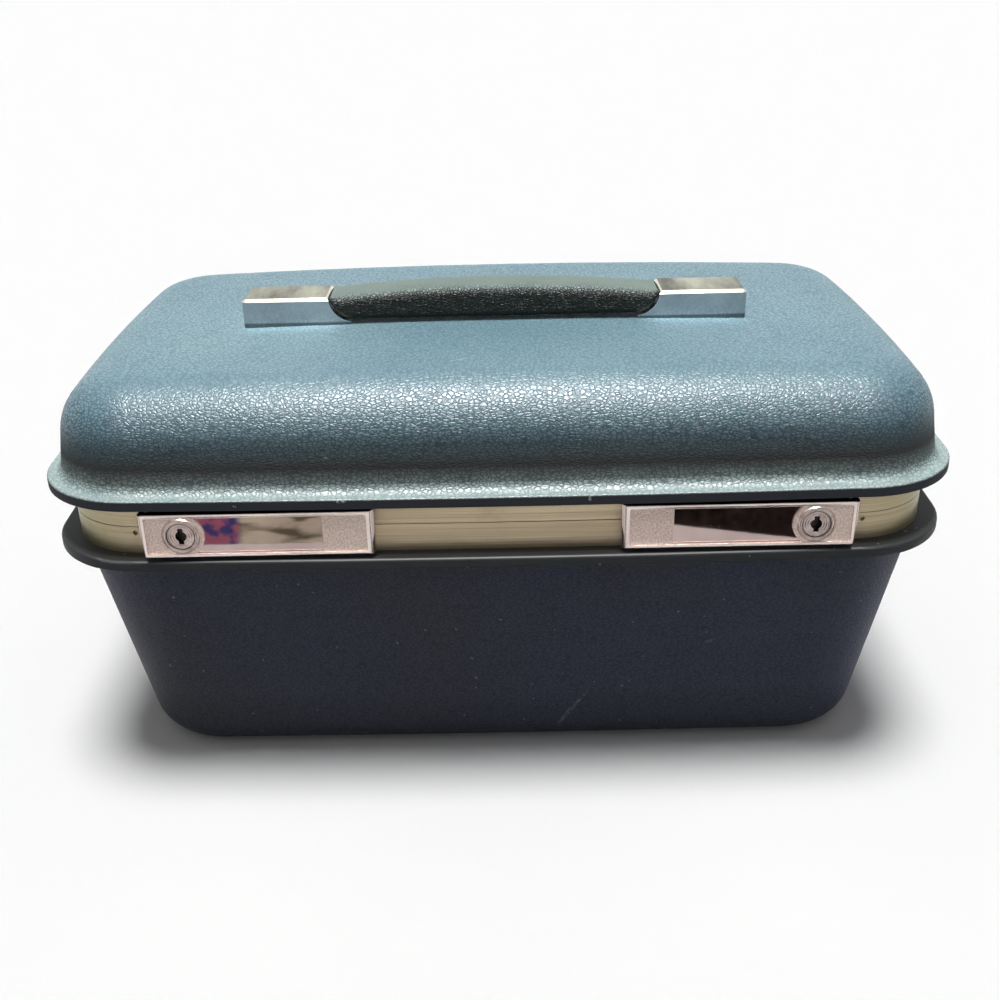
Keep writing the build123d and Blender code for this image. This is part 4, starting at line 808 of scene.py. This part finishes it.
def flat_sheet(name, corners, material):
    """A flat four-cornered piece of the stage."""
    mesh = bpy.data.meshes.new(name)
    mesh.from_pydata(corners, [], [(0, 1, 2, 3)])
    mesh.materials.append(material)
    sheet = bpy.data.objects.new(name, mesh)
    bpy.context.scene.collection.objects.link(sheet)
    return sheet


def add_floor():
    """A floor that shows white, and throws little light back on the case."""
    half = FLOOR_SIZE / 2
    look = Look("floor", Roughness=0.9, Specular_IOR_Level=0.0)
    look.shade("Base Color", look.mix(seen_directly(look.tree), FLOOR_BOUNCE, WHITE))
    corners = [(-half, -half, 0.0), (half, -half, 0.0), (half, half, 0.0), (-half, half, 0.0)]
    flat_sheet("floor", corners, look.material)


def add_card(name, corners, material):
    """A small upright glowing card in front, seen only in gloss, which gives a latch a painted reflection.
    """
    card = flat_sheet(name, [(x, CARD_Y, z) for x, z in corners], material)
    for ray in ("camera", "diffuse", "shadow", "transmission"):
        setattr(card, "visible_" + ray, False)


def glowing(name):
    """The start of a card's look: black, and lit from within."""
    return Look(name, Base_Color=rgb(0, 0, 0), Specular_IOR_Level=0.0, Emission_Strength=1.0)


def dark_card():
    """A painted dark reflection: nearly black, with a faint mottle."""
    look = glowing("dark_card")
    mottle = look.between(look.noise(220.0), 0.3, 0.7)
    look.shade("Emission Color", look.mix(mottle, rgb(20, 18, 18), rgb(60, 52, 50)))
    return look.material


def mixed_card():
    """A painted reflection: streaks of grey-green, with a blue and pink patch to one side."""
    look = glowing("mixed_card")
    place = look.warped(look.stretched(36.0, 1.0, 150.0), 0.9, 1.4)
    streaks = look.between(look.noise(1.0, 3.0, 0.5, place), 0.42, 0.56)
    colour = look.mix(streaks, rgb(118, 116, 96), rgb(222, 222, 204))
    patch = look.between(look.noise(170.0, 2.0), 0.44, 0.56)
    patch = look.mix(patch, rgb(78, 80, 144), rgb(180, 114, 140))
    where = look.between(look.spot(*CARD_PATCH), 0.10, 0.30)
    look.shade("Emission Color", look.mix(where, colour, patch))
    return look.material


def add_stage():
    """The camera, the surround, the lamps, the floor and the cards."""
    add_camera()
    add_world()
    add_lamp("overhead", *OVERHEAD_LAMP)
    add_lamp("glint", *GLINT_LAMP).visible_diffuse = False
    add_floor()
    add_card("dark_card", DARK_CARD, dark_card())
    add_card("mixed_card", MIXED_CARD, mixed_card())


def case_looks():
    """The look of each of the model's material slots, and of the caps."""
    blue = (rgb(122, 145, 156), rgb(138, 160, 170))
    return {
        "lid_plastic": lid_plastic(),
        "base_plastic": base_plastic(),
        "frame_metal": frame_metal(),
        "chrome": latch_metal(),
        "cap": cap_metal(),
        "lock_metal": lock_metal(),
        "steel": steel(),
        "lining_cloth": lining_cloth(),
        "tray_plastic": pale_plastic("tray_plastic", *blue, 0.42),
        "bezel_plastic": pale_plastic("bezel_plastic", *blue, 0.35),
        "mirror_glass": mirror_glass(),
        "grip_vinyl": grip_vinyl(),
    }


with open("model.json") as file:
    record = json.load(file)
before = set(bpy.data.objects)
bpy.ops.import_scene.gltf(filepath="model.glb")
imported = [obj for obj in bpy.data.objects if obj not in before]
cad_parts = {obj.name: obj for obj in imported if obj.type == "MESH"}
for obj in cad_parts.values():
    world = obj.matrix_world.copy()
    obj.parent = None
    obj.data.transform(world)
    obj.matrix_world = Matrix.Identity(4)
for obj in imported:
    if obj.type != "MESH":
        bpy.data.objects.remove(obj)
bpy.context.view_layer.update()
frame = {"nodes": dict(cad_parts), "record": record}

add_stage()
looks = case_looks()
paint_nodes(frame, looks)
add_grip(looks["grip_vinyl"])
add_linings(looks["lining_cloth"])

bpy.context.scene.view_settings.view_transform = "Standard"
